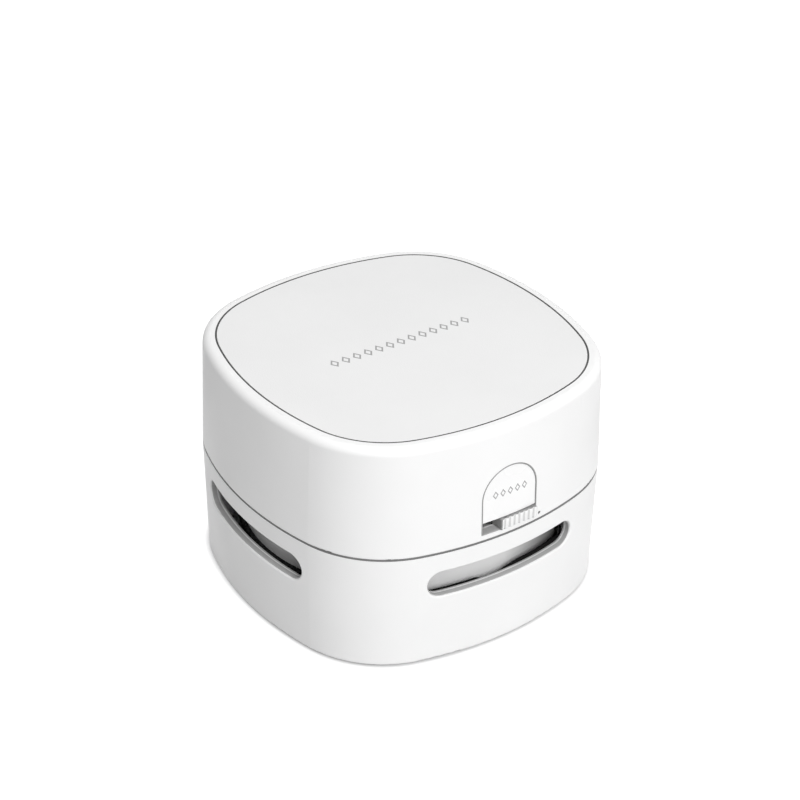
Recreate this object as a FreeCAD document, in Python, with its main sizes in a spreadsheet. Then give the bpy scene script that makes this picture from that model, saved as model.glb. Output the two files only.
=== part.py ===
"""Desktop mini vacuum cleaner: a squarish two-cell sweeper that stands on a desk.

Millimetres, +Z up, floor at z = 0, origin on the floor under the middle of the body.
The side with the push button and the slide switch faces -Y.
"""

import FreeCAD, Part
import math
import os
import re
import Sketcher
from FreeCAD import Placement, Rotation, Vector

# ---------------------------------------------------------------------------
# Driving dimensions
# ---------------------------------------------------------------------------

SIZES = {
    # Outer outline: four bowed sides joined by four round corners
    "body_width": 87.0,
    "side_radius": 79.5,
    "corner_radius": 26.3,
    "total_height": 58.6,
    "foot_lift": 0.5,
    "seam_height": 30.15,
    "seam_gap": 0.3,
    "shell_wall": 2.0,
    "upper_draft": 1.0,
    "lower_draft": 0.5,
    "top_rounding": 1.9,
    "edge_rounding": 0.6,
    "fit_gap": 0.2,
    # Top cover and the rim round it
    "rim_width": 2.9,
    "cover_gap": 0.34,
    "cover_thickness": 2.0,
    "cover_edge_rounding": 0.25,
    "ledge_width": 2.0,
    "ledge_thickness": 1.8,
    "cover_tab_width": 12.0,
    "cover_tab_depth": 2.4,
    "cover_tab_thickness": 1.2,
    "pad_length": 30.0,
    "pad_width": 12.0,
    "pad_gap": 0.15,
    "pad_thickness": 2.4,
    # Air outlets in the lower shell
    "vent_length": 40.5,
    "vent_height": 7.0,
    "vent_drop": 8.55,
    "vent_edge_rounding": 0.35,
    # Screws on the diagonals
    "corner_screw_inset": 5.06,
    "boss_radius": 3.0,
    "boss_height": 7.5,
    "pilot_radius": 0.9,
    "screw_hole_radius": 1.3,
    "screw_shank_radius": 0.9,
    "screw_head_radius": 2.1,
    "screw_head_height": 1.5,
    "screw_length": 6.5,
    "recess_width": 0.6,
    "recess_span": 2.4,
    "recess_depth": 0.8,
    # Base plate, feet and bristle ring
    "base_height": 3.0,
    "base_thickness": 2.0,
    "inlet_radius": 16.0,
    "foot_inset": 9.5,
    "foot_radius": 3.6,
    "foot_thickness": 1.2,
    "foot_boss_radius": 4.4,
    "bristle_ring_radius": 18.0,
    "bristle_ring_width": 1.6,
    "bristle_ring_height": 2.2,
    "bristle_groove_depth": 1.2,
    "bristle_radius": 0.5,
    "bristle_tip_height": 0.3,
    "bristle_count": 36,
    # Dust cup
    "cup_clearance": 0.5,
    "cup_wall": 1.4,
    "chimney_height": 6.0,
    "chimney_wall": 1.2,
    "cup_tab_width": 12.0,
    "seal_width": 2.5,
    "seal_height": 1.8,
    "seal_compression_gap": 0.1,
    # Spider and brush spindle
    "spider_width": 1.8,
    "spider_floor_gap": 1.0,
    "spider_depth": 2.4,
    "spider_hub_radius": 4.0,
    "bush_radius": 2.6,
    "bush_flange_radius": 3.4,
    "bush_flange_thickness": 0.5,
    "spindle_radius": 1.5,
    "running_clearance": 0.05,
    "end_play": 0.15,
    "socket_radius": 3.2,
    "socket_height": 3.5,
    "socket_slot_depth": 2.2,
    "dog_blade_thickness": 1.2,
    "dog_clearance": 0.25,
    "dog_radius": 3.0,
    "dog_height": 3.6,
    "dog_web": 1.2,
    "brush_hub_radius": 5.0,
    "brush_hub_height": 2.4,
    "tuft_radius": 1.1,
    "tuft_root": 3.0,
    "tuft_reach": 13.8,
    "tuft_count": 6,
    "tuft_droop": 17.0,
    "clip_radius": 2.7,
    "clip_thickness": 0.4,
    "clip_mouth": 2.4,
    # Filter
    "filter_clearance": 0.3,
    "filter_ring_width": 1.9,
    "filter_height": 2.7,
    "filter_tube_bore": 3.6,
    "filter_tube_wall": 1.2,
    "filter_spoke_width": 1.6,
    "filter_spoke_height": 1.3,
    "filter_spoke_count": 6,
    "mesh_thickness": 0.8,
    "filter_below_drum": 0.2,
    "filter_seal_thickness": 0.4,
    # Drum and chassis
    "drum_step": 1.0,
    "drum_wall": 1.6,
    "drum_depth": 12.9,
    "shroud_height": 3.1,
    "shroud_thickness": 1.2,
    "eye_radius": 12.0,
    "window_height": 3.4,
    "window_width": 11.0,
    "window_count": 12,
    "window_drop": 0.6,
    "chassis_thickness": 1.8,
    "chassis_drop": 0.1,
    "chassis_clearance": 0.4,
    # Impeller
    "impeller_tip_gap": 5.4,
    "impeller_plate": 1.2,
    "impeller_blade_height": 4.6,
    "impeller_blade_thickness": 1.2,
    "impeller_hub_radius": 4.5,
    "impeller_headroom": 2.2,
    "blade_count": 9,
    # Motor
    "motor_radius": 12.0,
    "motor_headroom": 8.0,
    "can_wall": 0.9,
    "end_cap_thickness": 1.4,
    "end_cap_plug": 1.4,
    "motor_bush_radius": 2.4,
    "motor_bush_length": 2.0,
    "shaft_radius": 1.0,
    "magnet_thickness": 2.2,
    "magnet_headroom": 3.6,
    "magnet_lift": 2.8,
    "magnet_angle": 60.0,
    "armature_radius": 8.3,
    "armature_core_radius": 3.2,
    "armature_headroom": 5.2,
    "armature_lift": 4.2,
    "pole_width": 2.4,
    "pole_shoe": 1.3,
    "pole_shoe_angle": 50.0,
    "winding_width": 6.4,
    "winding_overhang": 1.0,
    "winding_gap": 0.2,
    "commutator_radius": 2.6,
    "commutator_length": 2.4,
    "motor_screw_circle": 8.0,
    "leaf_width": 1.6,
    "motor_screw_length": 2.2,
    "terminal_height": 2.6,
    "terminal_width": 2.4,
    "terminal_thickness": 0.5,
    "terminal_offset": 7.0,
    # Cells and tray
    "cell_radius": 7.25,
    "cell_nub_radius": 2.7,
    "cell_nub_length": 1.3,
    "cell_side_room": 6.5,
    "cell_clearance": 0.2,
    "tray_wall": 1.3,
    "tray_floor": 1.2,
    "tray_end_room": 12.6,
    "tray_rise": 3.2,
    "tray_bar_width": 3.0,
    "tray_bar_height": 3.2,
    "tray_post_radius": 3.0,
    "tray_post_offset": 18.0,
    "tray_screw_gap": 1.0,
    "contact_thickness": 0.5,
    "contact_width": 9.0,
    "contact_height": 9.0,
    "tab_width": 3.0,
    "tab_rise": 1.6,
    "contact_play": 0.05,
    "contact_spring_radius": 3.4,
    "contact_spring_wire": 0.35,
    "contact_spring_turns": 3.5,
    "contact_spring_length": 4.25,
    # Slide switch
    "slot_height": 3.3,
    "slot_rise": 1.5,
    "opening_half_width": 7.5,
    "knob_width": 10.0,
    "knob_height": 2.9,
    "knob_protrusion": 0.5,
    "knob_depth": 4.1,
    "knob_rest": 2.3,
    "knob_travel": 4.6,
    "rib_pitch": 1.33,
    "rib_groove": 0.6,
    "rib_depth": 0.45,
    "rib_count": 7,
    "nib_width": 3.6,
    "nib_height": 0.9,
    "nib_bite": 1.6,
    "foot_depth": 2.4,
    "switch_length": 19.0,
    "switch_height": 2.9,
    "switch_depth": 4.0,
    "switch_setback": 1.6,
    "frame_sheet": 0.4,
    "pin_length": 3.0,
    "pin_width": 1.0,
    "pin_thickness": 0.5,
    "pin_pitch": 4.7,
    "board_thickness": 1.2,
    "board_half_width": 14.0,
    "board_height": 7.0,
    "guide_width": 2.6,
    "guide_height": 5.8,
    "dot_offset": 8.7,
    "dot_rise": 0.2,
    "dot_radius": 0.4,
    "dot_depth": 0.4,
    # Push button and latch
    "button_gap": 0.25,
    "arch_rise": 5.5,
    "button_inset": 0.08,
    "dimple_radius": 4.7,
    "dimple_depth": 0.4,
    "dimple_offset": 0.7,
    "dimple_rise": 0.4,
    "flange_half_width": 13.5,
    "flange_rise": 2.1,
    "flange_height": 8.8,
    "flange_thickness": 1.2,
    "button_travel": 1.2,
    "leg_width": 2.5,
    "leg_thickness": 1.2,
    "latch_reach": 3.75,
    "latch_tooth": 1.4,
    "latch_clearance": 0.15,
    "latch_recess": 0.9,
    "latch_lap": 1.0,
    "stem_radius": 1.5,
    "stem_length": 6.0,
    "spring_radius": 2.4,
    "spring_wire": 0.3,
    "spring_turns": 6.0,
    "spring_rise": 5.3,
    # Internal leads
    "lead_radius": 0.55,
}

doc = FreeCAD.newDocument("desktop_mini_vacuum")
sheet = doc.addObject("Spreadsheet::Sheet", "Sizes")
for row, (alias, size) in enumerate(SIZES.items(), start=1):
    sheet.set("A%d" % row, alias)
    sheet.set("B%d" % row, str(size))
    sheet.setAlias("B%d" % row, alias)
doc.recompute()

# ---------------------------------------------------------------------------
# Expressions, sketches and features
# ---------------------------------------------------------------------------

PIECES = []
SAME_PLACE = 0.001  # mm


def sized(formula):
    """The formula with each size written as a reference to the sheet."""
    return re.sub(r"[a-z][a-z0-9_]*", lambda word: "Sizes." + word.group() if word.group() in SIZES
                  else word.group(), formula)


def number(formula):
    """The formula's present value, used for the first drawing of a sketch."""
    found = sheet.evalExpression(formula)
    return float(getattr(found, "Value", found))


def bind(feature, prop, formula):
    feature.setExpression(prop, sized(formula))


def piece(feature, label):
    """Registers a finished sub-part under the name of its file."""
    feature.Label = label
    PIECES.append(feature)
    return feature


def origin_feature(body, role):
    return [item for item in body.Origin.OriginFeatures if item.Role == role][0]


def new_body(name):
    return doc.addObject("PartDesign::Body", name)


def new_sketch(body, name, role="XY_Plane", offset="0"):
    """A sketch on one of the body's origin planes, moved along the plane's normal."""
    sketch = body.newObject("Sketcher::SketchObject", name)
    sketch.AttachmentSupport = [(origin_feature(body, role), "")]
    sketch.MapMode = "FlatFace"
    bind(sketch, "AttachmentOffset.Base.z", offset)
    return sketch


def dimension(sketch, kind, refs, formula):
    """Adds a dimension to the sketch and binds it to the sheet."""
    index = sketch.addConstraint(Sketcher.Constraint(kind, *refs, number(formula)))
    bind(sketch, "Constraints[%d]" % index, formula)


def pin_point(sketch, geometry, vertex, x, y):
    """Places a vertex of the sketch by its distances from the origin."""
    dimension(sketch, "DistanceX", (-1, 1, geometry, vertex), x)
    dimension(sketch, "DistanceY", (-1, 1, geometry, vertex), y)


def draw_polygon(sketch, corners):
    points = [Vector(number(x), number(y), 0) for x, y in corners]
    first = sketch.GeometryCount
    count = len(points)
    for i in range(count):
        sketch.addGeometry(Part.LineSegment(points[i], points[(i + 1) % count]), False)
    for i in range(count):
        following = first + (i + 1) % count
        sketch.addConstraint(Sketcher.Constraint("Coincident", first + i, 2, following, 1))
    for i, (x, y) in enumerate(corners):
        pin_point(sketch, first + i, 1, x, y)
    return sketch


def draw_circle(sketch, radius, x="0", y="0"):
    centre = Vector(number(x), number(y), 0)
    index = sketch.addGeometry(Part.Circle(centre, Vector(0, 0, 1), number(radius)), False)
    dimension(sketch, "Radius", (index,), radius)
    pin_point(sketch, index, 3, x, y)
    return sketch


def draw_rounded_square(sketch, inset):
    """The body's outline moved inwards: side arcs and corner arcs, each tangent to the next.

    A side arc's centre lies on an axis, side_radius back from the side's middle.
    A corner arc's centre (d, d) is side_radius - corner_radius from that centre.
    """
    side = number("side_radius")
    corner = number("corner_radius")
    back = number("body_width / 2") - side
    reach = side - corner
    d = (back + math.sqrt(2 * reach * reach - back * back)) / 2
    split = math.degrees(math.atan2(d, d - back))
    shift = number(inset)
    for quarter in range(4):
        turn = Rotation(Vector(0, 0, 1), 90 * quarter)
        for centre, radius, start, end in (((back, 0), side, -split, split),
                                           ((d, d), corner, split, 90 - split)):
            circle = Part.Circle(turn.multVec(Vector(centre[0], centre[1], 0)),
                                 Vector(0, 0, 1), radius - shift)
            sketch.addGeometry(Part.ArcOfCircle(circle, math.radians(start + 90 * quarter),
                                                math.radians(end + 90 * quarter)), False)
    for i in range(8):
        sketch.addConstraint(Sketcher.Constraint("Tangent", i, 2, (i + 1) % 8, 1))
    dimension(sketch, "Radius", (0,), "side_radius - (%s)" % inset)
    dimension(sketch, "Radius", (1,), "corner_radius - (%s)" % inset)
    for quarter in range(1, 4):
        sketch.addConstraint(Sketcher.Constraint("Equal", 0, 2 * quarter))
        sketch.addConstraint(Sketcher.Constraint("Equal", 1, 2 * quarter + 1))
    for quarter in range(4):
        along = ("DistanceX", "DistanceY")[quarter % 2]
        arc = 2 * quarter
        refs = (arc, 3, -1, 1) if quarter < 2 else (-1, 1, arc, 3)
        dimension(sketch, along, refs, "side_radius - body_width / 2")
        axis = (-1, -2)[quarter % 2]
        sketch.addConstraint(Sketcher.Constraint("PointOnObject", arc, 3, axis))
    return sketch


def draw_arch(sketch, half_width, bottom, centre):
    """Two upright sides and a floor under a half-round top."""
    r = number(half_width)
    low = number(bottom)
    high = number(centre)
    sketch.addGeometry(Part.LineSegment(Vector(-r, low, 0), Vector(r, low, 0)), False)
    sketch.addGeometry(Part.LineSegment(Vector(r, low, 0), Vector(r, high, 0)), False)
    circle = Part.Circle(Vector(0, high, 0), Vector(0, 0, 1), r)
    sketch.addGeometry(Part.ArcOfCircle(circle, 0, math.pi), False)
    sketch.addGeometry(Part.LineSegment(Vector(-r, high, 0), Vector(-r, low, 0)), False)
    sketch.addConstraint(Sketcher.Constraint("Coincident", 0, 2, 1, 1))
    sketch.addConstraint(Sketcher.Constraint("Tangent", 1, 2, 2, 1))
    sketch.addConstraint(Sketcher.Constraint("Tangent", 2, 2, 3, 1))
    sketch.addConstraint(Sketcher.Constraint("Coincident", 3, 2, 0, 1))
    sketch.addConstraint(Sketcher.Constraint("Vertical", 1))
    dimension(sketch, "Radius", (2,), half_width)
    pin_point(sketch, 2, 3, "0", centre)
    sketch.addConstraint(Sketcher.Constraint("Vertical", 3))
    sketch.addConstraint(Sketcher.Constraint("Horizontal", 0))
    dimension(sketch, "DistanceY", (-1, 1, 0, 1), bottom)
    return sketch


def draw_slot(sketch, length, height, centre):
    """A level slot with round ends, centred on the sketch's upright axis."""
    r = number(height) / 2
    reach = number(length) / 2 - r
    level = number(centre)
    right = Part.Circle(Vector(reach, level, 0), Vector(0, 0, 1), r)
    left = Part.Circle(Vector(-reach, level, 0), Vector(0, 0, 1), r)
    quarter = math.pi / 2
    sketch.addGeometry(Part.ArcOfCircle(right, -quarter, quarter), False)
    sketch.addGeometry(Part.LineSegment(Vector(reach, level + r, 0), Vector(-reach, level + r, 0)), False)
    sketch.addGeometry(Part.ArcOfCircle(left, quarter, 3 * quarter), False)
    sketch.addGeometry(Part.LineSegment(Vector(-reach, level - r, 0), Vector(reach, level - r, 0)), False)
    for i in range(4):
        sketch.addConstraint(Sketcher.Constraint("Tangent", i, 2, (i + 1) % 4, 1))
    dimension(sketch, "Radius", (0,), "(%s) / 2" % height)
    pin_point(sketch, 0, 3, "(%s) / 2 - (%s) / 2" % (length, height), centre)
    pin_point(sketch, 2, 3, "-(%s) / 2 + (%s) / 2" % (length, height), centre)
    return sketch


def pad(body, sketch, length, taper=None, reverse=False):
    feature = body.newObject("PartDesign::Pad", sketch.Name + "_pad")
    feature.Profile = sketch
    feature.Reversed = reverse
    bind(feature, "Length", length)
    if taper:
        bind(feature, "TaperAngle", taper)
    return feature


def pocket(body, sketch, length=None, reverse=False):
    """Cuts a blind pocket of that length, or right through when no length is given."""
    feature = body.newObject("PartDesign::Pocket", sketch.Name + "_pocket")
    feature.Profile = sketch
    feature.Reversed = reverse
    if length:
        bind(feature, "Length", length)
    else:
        feature.Type = "ThroughAll"
    return feature


def revolve(body, name, corners):
    """Turns a closed outline of (radius, height) corners about the Z axis."""
    sketch = draw_polygon(new_sketch(body, name, "XZ_Plane"), corners)
    feature = body.newObject("PartDesign::Revolution", name + "_turned")
    feature.Profile = sketch
    feature.ReferenceAxis = (sketch, ["V_Axis"])
    feature.Angle = 360
    return feature


def repeat_round(body, features, count):
    """Copies features round the Z axis, evenly over a full turn."""
    feature = body.newObject("PartDesign::PolarPattern", features[0].Name + "_pattern")
    feature.Originals = features
    feature.Axis = (origin_feature(body, "Z_Axis"), [""])
    feature.Angle = 360
    bind(feature, "Occurrences", count)
    body.Tip = feature
    return feature


def round_edges(body, feature, wanted, radius):
    """Rounds the feature's edges that the wanted test picks."""
    doc.recompute()
    names = ["Edge%d" % (i + 1) for i, edge in enumerate(feature.Shape.Edges) if wanted(edge)]
    rounding = body.newObject("PartDesign::Fillet", feature.Name + "_rounded")
    rounding.Base = (feature, names)
    bind(rounding, "Radius", radius)
    return rounding


def level_edge(height):
    """A test for edges that lie flat at that height."""
    level = number(height)
    return lambda edge: (abs(edge.BoundBox.ZMin - level) < SAME_PLACE
                         and edge.BoundBox.ZLength < SAME_PLACE)


def place(feature, x, y, z):
    for axis, formula in zip("xyz", (x, y, z)):
        bind(feature, "Placement.Base." + axis, formula)
    return feature


def box(name, x, y, z):
    """A block between a low and a high value along each axis."""
    block = doc.addObject("Part::Box", name)
    for side, (low, high) in zip(("Length", "Width", "Height"), (x, y, z)):
        bind(block, side, "(%s) - (%s)" % (high, low))
    return place(block, x[0], y[0], z[0])


def cylinder(name, radius, start, length, axis="Z"):
    """A round bar from its start along an axis."""
    bar = doc.addObject("Part::Cylinder", name)
    bind(bar, "Radius", radius)
    bind(bar, "Height", length)
    turns = {"X": Rotation(Vector(0, 1, 0), 90), "Y": Rotation(Vector(1, 0, 0), -90),
             "Z": Rotation()}
    bar.Placement = Placement(Vector(), turns[axis])
    return place(bar, *start)


def fuse(name, shapes):
    joined = doc.addObject("Part::MultiFuse", name)
    joined.Shapes = shapes
    joined.Refine = True
    return joined


def cut(name, base, tools):
    """The base with each tool cut out of it."""
    for i, tool in enumerate(tools):
        result = doc.addObject("Part::Cut", name if i == len(tools) - 1 else name + "_cut")
        result.Base = base
        result.Tool = tool
        base = result
    return base


def group(name, shapes):
    """Separate like solids kept as one sub-part."""
    bundle = doc.addObject("Part::Compound", name)
    bundle.Links = shapes
    return bundle


def mirrored_x(low, high):
    """The same span on the left and on the right of the middle."""
    return (("-(%s)" % high, "-(%s)" % low), (low, high))


# ---------------------------------------------------------------------------
# Levels and faces shared by neighbouring pieces
# ---------------------------------------------------------------------------


def wall_at(across, inset):
    """How far the inset outline stands from the middle, that far across a side."""
    return ("(body_width / 2 - side_radius + sqrt((side_radius - %s) ^ 2 - (%s) ^ 2))"
            % (inset, across))


LOWER_TOP = "(seam_height - seam_gap / 2)"
UPPER_BOTTOM = "(seam_height + seam_gap / 2)"
LOWER_INSET = "(lower_draft + shell_wall)"
UPPER_INSET = "(upper_draft + shell_wall)"
VENT_LEVEL = "(seam_height - vent_drop)"
# A corner arc's centre is as far from both axes; its arc reaches corner_radius beyond it
ARC_BACK = "(body_width / 2 - side_radius)"
ARC_CENTRE = "((%s + sqrt(2 * (side_radius - corner_radius) ^ 2 - %s ^ 2)) / 2)" % (ARC_BACK, ARC_BACK)
SCREW_CIRCLE = "(%s / cos(45) + corner_radius - corner_screw_inset)" % ARC_CENTRE
CORNER = "(%s * cos(45))" % SCREW_CIRCLE
FOOT = "((%s - foot_inset) * cos(45))" % SCREW_CIRCLE
CHASSIS_TOP = "(%s - chassis_drop)" % UPPER_BOTTOM
CHASSIS_BOTTOM = "(%s - chassis_thickness)" % CHASSIS_TOP
DRUM_BOTTOM = "(%s - drum_depth)" % CHASSIS_BOTTOM
BASE_TOP = "(base_height + base_thickness)"
CUP_RADIUS = "(%s - boss_radius - cup_clearance)" % SCREW_CIRCLE
CUP_TOP = "(%s - seal_compression_gap - seal_height)" % DRUM_BOTTOM
SPIDER_BOTTOM = "(%s + spider_floor_gap)" % BASE_TOP
SPIDER_TOP = "(%s + spider_depth)" % SPIDER_BOTTOM
SOCKET_BOTTOM = "(%s + bush_flange_thickness + end_play)" % SPIDER_TOP
SOCKET_TOP = "(%s + socket_height)" % SOCKET_BOTTOM
BRUSH_HUB_TOP = "(%s - end_play)" % SPIDER_BOTTOM
BRUSH_HUB_BOTTOM = "(%s - brush_hub_height)" % BRUSH_HUB_TOP
DOG_BOTTOM = "(%s + dog_clearance)" % SOCKET_TOP
DRUM_RADIUS = "(%s - drum_step)" % CUP_RADIUS
DRUM_INSIDE = "(%s - drum_wall)" % DRUM_RADIUS
FILTER_RADIUS = "(%s - filter_clearance)" % DRUM_INSIDE
FILTER_INSIDE = "(%s - filter_ring_width)" % FILTER_RADIUS
FILTER_BOTTOM = "(%s - filter_below_drum)" % DRUM_BOTTOM
FILTER_TOP = "(%s + filter_height)" % FILTER_BOTTOM
IMPELLER_RADIUS = "(%s - impeller_tip_gap)" % DRUM_INSIDE
IMPELLER_TOP = "(%s - impeller_headroom)" % CHASSIS_BOTTOM
IMPELLER_BOTTOM = "(%s - impeller_plate - impeller_blade_height)" % IMPELLER_TOP
COVER_BOTTOM = "(total_height - cover_thickness)"
CAN_TOP = "(%s - motor_headroom)" % COVER_BOTTOM
CAN_INSIDE = "(motor_radius - can_wall)"
END_TOP = "(%s + end_cap_thickness)" % CAN_TOP
MAGNET_BOTTOM = "(%s + magnet_lift)" % CHASSIS_TOP
ARMATURE_BOTTOM = "(%s + armature_lift)" % CHASSIS_TOP
ARMATURE_TOP = "(%s - armature_headroom)" % CAN_TOP
ARMATURE_LENGTH = "(%s - %s)" % (ARMATURE_TOP, ARMATURE_BOTTOM)
SHOE_INSIDE = "(armature_radius - pole_shoe)"
# The cells lie two thirds of the way from the motor to the side walls
CELL_X = "((2 * %s + motor_radius) / 3 - cell_side_room)" % wall_at("0", UPPER_INSET)
CELL_LEVEL = "(%s - pad_thickness - pad_gap - cell_radius)" % COVER_BOTTOM
TROUGH = "(cell_radius + cell_clearance)"
TRAY_HALF = "(%s + tray_wall)" % TROUGH
TRAY_BOTTOM = "(%s - %s - tray_floor)" % (CELL_LEVEL, TROUGH)
TRAY_TOP = "(%s + tray_rise)" % CELL_LEVEL
TRAY_END = "(%s - tray_end_room)" % wall_at("0", UPPER_INSET)
TRAY_SCREW_LENGTH = "(%s - %s - tray_screw_gap)" % (TRAY_BOTTOM, CHASSIS_TOP)
CONTACT_FACE = "(%s - contact_thickness)" % TRAY_END
CELL_FRONT = "(%s - contact_play)" % CONTACT_FACE
CELL_LENGTH = "(%s + %s - contact_spring_length)" % (CELL_FRONT, CONTACT_FACE)
RECESS_INSET = "(upper_draft + rim_width)"
LEDGE_INSET = "(%s + ledge_width)" % RECESS_INSET
LEDGE_BOTTOM = "(%s - ledge_thickness)" % COVER_BOTTOM
SLOT_BOTTOM = "(%s + slot_rise)" % UPPER_BOTTOM
BUTTON_BOTTOM = "(%s + slot_height)" % SLOT_BOTTOM
ARCH_CENTRE = "(%s + arch_rise)" % BUTTON_BOTTOM
DIMPLE_LEVEL = "(%s + dimple_offset)" % ARCH_CENTRE
FLANGE_BOTTOM = "(%s + flange_rise)" % BUTTON_BOTTOM
FLANGE_TOP = "(%s + flange_height)" % FLANGE_BOTTOM
SPRING_LEVEL = "(%s + spring_rise)" % FLANGE_BOTTOM
LATCH_BOTTOM = "(seam_height - latch_reach)"
KNOB_LEVEL = "(%s + fit_gap + knob_height / 2)" % SLOT_BOTTOM
KNOB_FRONT = "(body_width / 2 + knob_protrusion)"
KNOB_BACK = "(%s - knob_depth)" % KNOB_FRONT
LEG_INSIDE = "(flange_half_width - leg_width)"
SWITCH_FRONT = "(%s - switch_setback)" % wall_at("0", UPPER_INSET)
SWITCH_BACK = "(%s - switch_depth)" % SWITCH_FRONT
BOARD_BACK = "(%s - board_thickness)" % SWITCH_BACK
FLANGE_FRONT = "(%s - fit_gap)" % wall_at("flange_half_width", UPPER_INSET)
FLANGE_BACK = "(%s - flange_thickness)" % FLANGE_FRONT
LEG_PRESSED = "(%s - leg_thickness - button_travel - fit_gap)" % FLANGE_FRONT
TOOTH_TIP = "(%s - latch_clearance)" % wall_at("flange_half_width", LOWER_INSET)


def back(distance):
    """A place that far in front of the middle, as a Y value."""
    return "-(%s)" % distance


def centred(middle, half):
    return ("(%s) - (%s)" % (middle, half), "(%s) + (%s)" % (middle, half))


# ---------------------------------------------------------------------------
# Screws: pan heads with a cross recess, all driven upwards from below
# ---------------------------------------------------------------------------

def make_screw(name, x, y, seat, length):
    head_bottom = "(%s - screw_head_height)" % seat
    head = cylinder(name + "_head", "screw_head_radius", (x, y, head_bottom), "screw_head_height")
    shank = cylinder(name + "_shank", "screw_shank_radius", (x, y, seat), length)
    depth = (head_bottom, head_bottom + " + recess_depth")
    long = "recess_span / 2"
    narrow = "recess_width / 2"
    slots = [box(name + "_slot_x", centred(x, long), centred(y, narrow), depth),
             box(name + "_slot_y", centred(x, narrow), centred(y, long), depth)]
    return cut(name, fuse(name + "_blank", [head, shank]), slots)


def make_screws(label, places, seat, length):
    screws = [make_screw("%s_%d" % (label, i), x, y, seat, length)
              for i, (x, y) in enumerate(places)]
    piece(group(label + "_group", screws), label)


def four_places(x, y):
    return [(sx + x, sy + y) for sx in ("", "-") for sy in ("", "-")]


# ---------------------------------------------------------------------------
# Lower body: shell, base plate, feet and bristle ring
# ---------------------------------------------------------------------------

def inset_of(point):
    """How far inside the seam outline a point on one of the four sides lies."""
    side = number("side_radius")
    ahead = max(abs(point.x), abs(point.y))
    across = min(abs(point.x), abs(point.y))
    return side - math.hypot(ahead + side - number("body_width / 2"), across)


def vent_rim(edge):
    """A test for the outer edges of the four air outlets."""
    middle = edge.valueAt((edge.FirstParameter + edge.LastParameter) / 2)
    reach = number("vent_height") / 2 + SAME_PLACE
    near = abs(middle.z - number(VENT_LEVEL)) < reach
    return near and inset_of(middle) < number("shell_wall") / 2


def make_lower_shell():
    body = new_body("lower_shell")
    height = "(%s - foot_lift)" % LOWER_TOP
    outline = draw_rounded_square(new_sketch(body, "lower_outline", offset="foot_lift"), "lower_draft")
    wall = pad(body, outline, height, taper="atan(lower_draft / %s)" % height)
    round_edges(body, wall, level_edge("foot_lift"), "edge_rounding")
    cavity = draw_rounded_square(new_sketch(body, "lower_cavity", offset="foot_lift"), LOWER_INSET)
    pocket(body, cavity, reverse=True)
    boss_sketch = new_sketch(body, "lower_boss", offset=BASE_TOP)
    boss = pad(body, draw_circle(boss_sketch, "boss_radius", CORNER, CORNER), "boss_height")
    pilot_sketch = new_sketch(body, "lower_pilot", offset=BASE_TOP)
    pilot = pocket(body, draw_circle(pilot_sketch, "pilot_radius", CORNER, CORNER),
                   "screw_length", reverse=True)
    repeat_round(body, [boss, pilot], "4")
    inside = "body_width / 2 - %s - 3 * shell_wall" % LOWER_INSET
    vent = draw_slot(new_sketch(body, "vent", "XZ_Plane", inside), "vent_length", "vent_height",
                     VENT_LEVEL)
    vents = repeat_round(body, [pocket(body, vent, reverse=True)], "4")
    round_edges(body, vents, vent_rim, "vent_edge_rounding")
    recess = new_sketch(body, "latch_recess_outline", "XZ_Plane", inside)
    level = (LATCH_BOTTOM + " - 2 * fit_gap", LATCH_BOTTOM + " + latch_tooth + 2 * fit_gap")
    for low, high in mirrored_x(LEG_INSIDE + " - 2 * fit_gap", "flange_half_width + 2 * fit_gap"):
        draw_polygon(recess, [(low, level[0]), (high, level[0]), (high, level[1]), (low, level[1])])
    depth = "%s + latch_recess - (%s)" % (wall_at("flange_half_width", LOWER_INSET), inside)
    pocket(body, recess, depth, reverse=True)
    piece(body, "lower_shell")


def make_base_plate():
    body = new_body("base_plate")
    outline = new_sketch(body, "base_outline", offset="base_height")
    pad(body, draw_rounded_square(outline, LOWER_INSET + " + fit_gap"), "base_thickness")
    inlet = draw_circle(new_sketch(body, "inlet", offset="base_height"), "inlet_radius")
    pocket(body, inlet, reverse=True)
    groove = new_sketch(body, "bristle_groove", offset="base_height")
    draw_circle(groove, "bristle_ring_radius - bristle_ring_width / 2")
    draw_circle(groove, "bristle_ring_radius + bristle_ring_width / 2")
    pocket(body, groove, "bristle_groove_depth", reverse=True)
    foot_sketch = new_sketch(body, "foot_boss", offset="base_height")
    foot = pad(body, draw_circle(foot_sketch, "foot_boss_radius", FOOT, FOOT),
               "base_height - foot_thickness", reverse=True)
    hole_sketch = new_sketch(body, "base_screw_hole", offset="base_height")
    hole = pocket(body, draw_circle(hole_sketch, "screw_hole_radius", CORNER, CORNER), reverse=True)
    repeat_round(body, [foot, hole], "4")
    piece(body, "base_plate")


def make_glide_feet():
    feet = [cylinder("glide_foot_%d" % i, "foot_radius", (x, y, "0"), "foot_thickness")
            for i, (x, y) in enumerate(four_places(FOOT, FOOT))]
    piece(group("glide_feet_group", feet), "glide_feet")


def make_bristle_ring():
    inner = "bristle_ring_radius - bristle_ring_width / 2"
    outer = "bristle_ring_radius + bristle_ring_width / 2"
    top = "base_height + bristle_groove_depth"
    bottom = "%s - bristle_ring_height" % top
    body = new_body("bristle_ring")
    revolve(body, "bristle_ring_section",
            [(inner, bottom), (outer, bottom), (outer, top), (inner, top)])
    piece(body, "bristle_ring")
    count = int(number("bristle_count"))
    length = "%s - bristle_tip_height" % bottom
    tufts = []
    for i in range(count):
        x = "bristle_ring_radius * cos(%g)" % (360 * i / count)
        y = "bristle_ring_radius * sin(%g)" % (360 * i / count)
        tufts.append(cylinder("edge_tuft_%d" % i, "bristle_radius", (x, y, "bristle_tip_height"), length))
    piece(group("bristle_tufts_group", tufts), "bristle_tufts")


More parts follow.
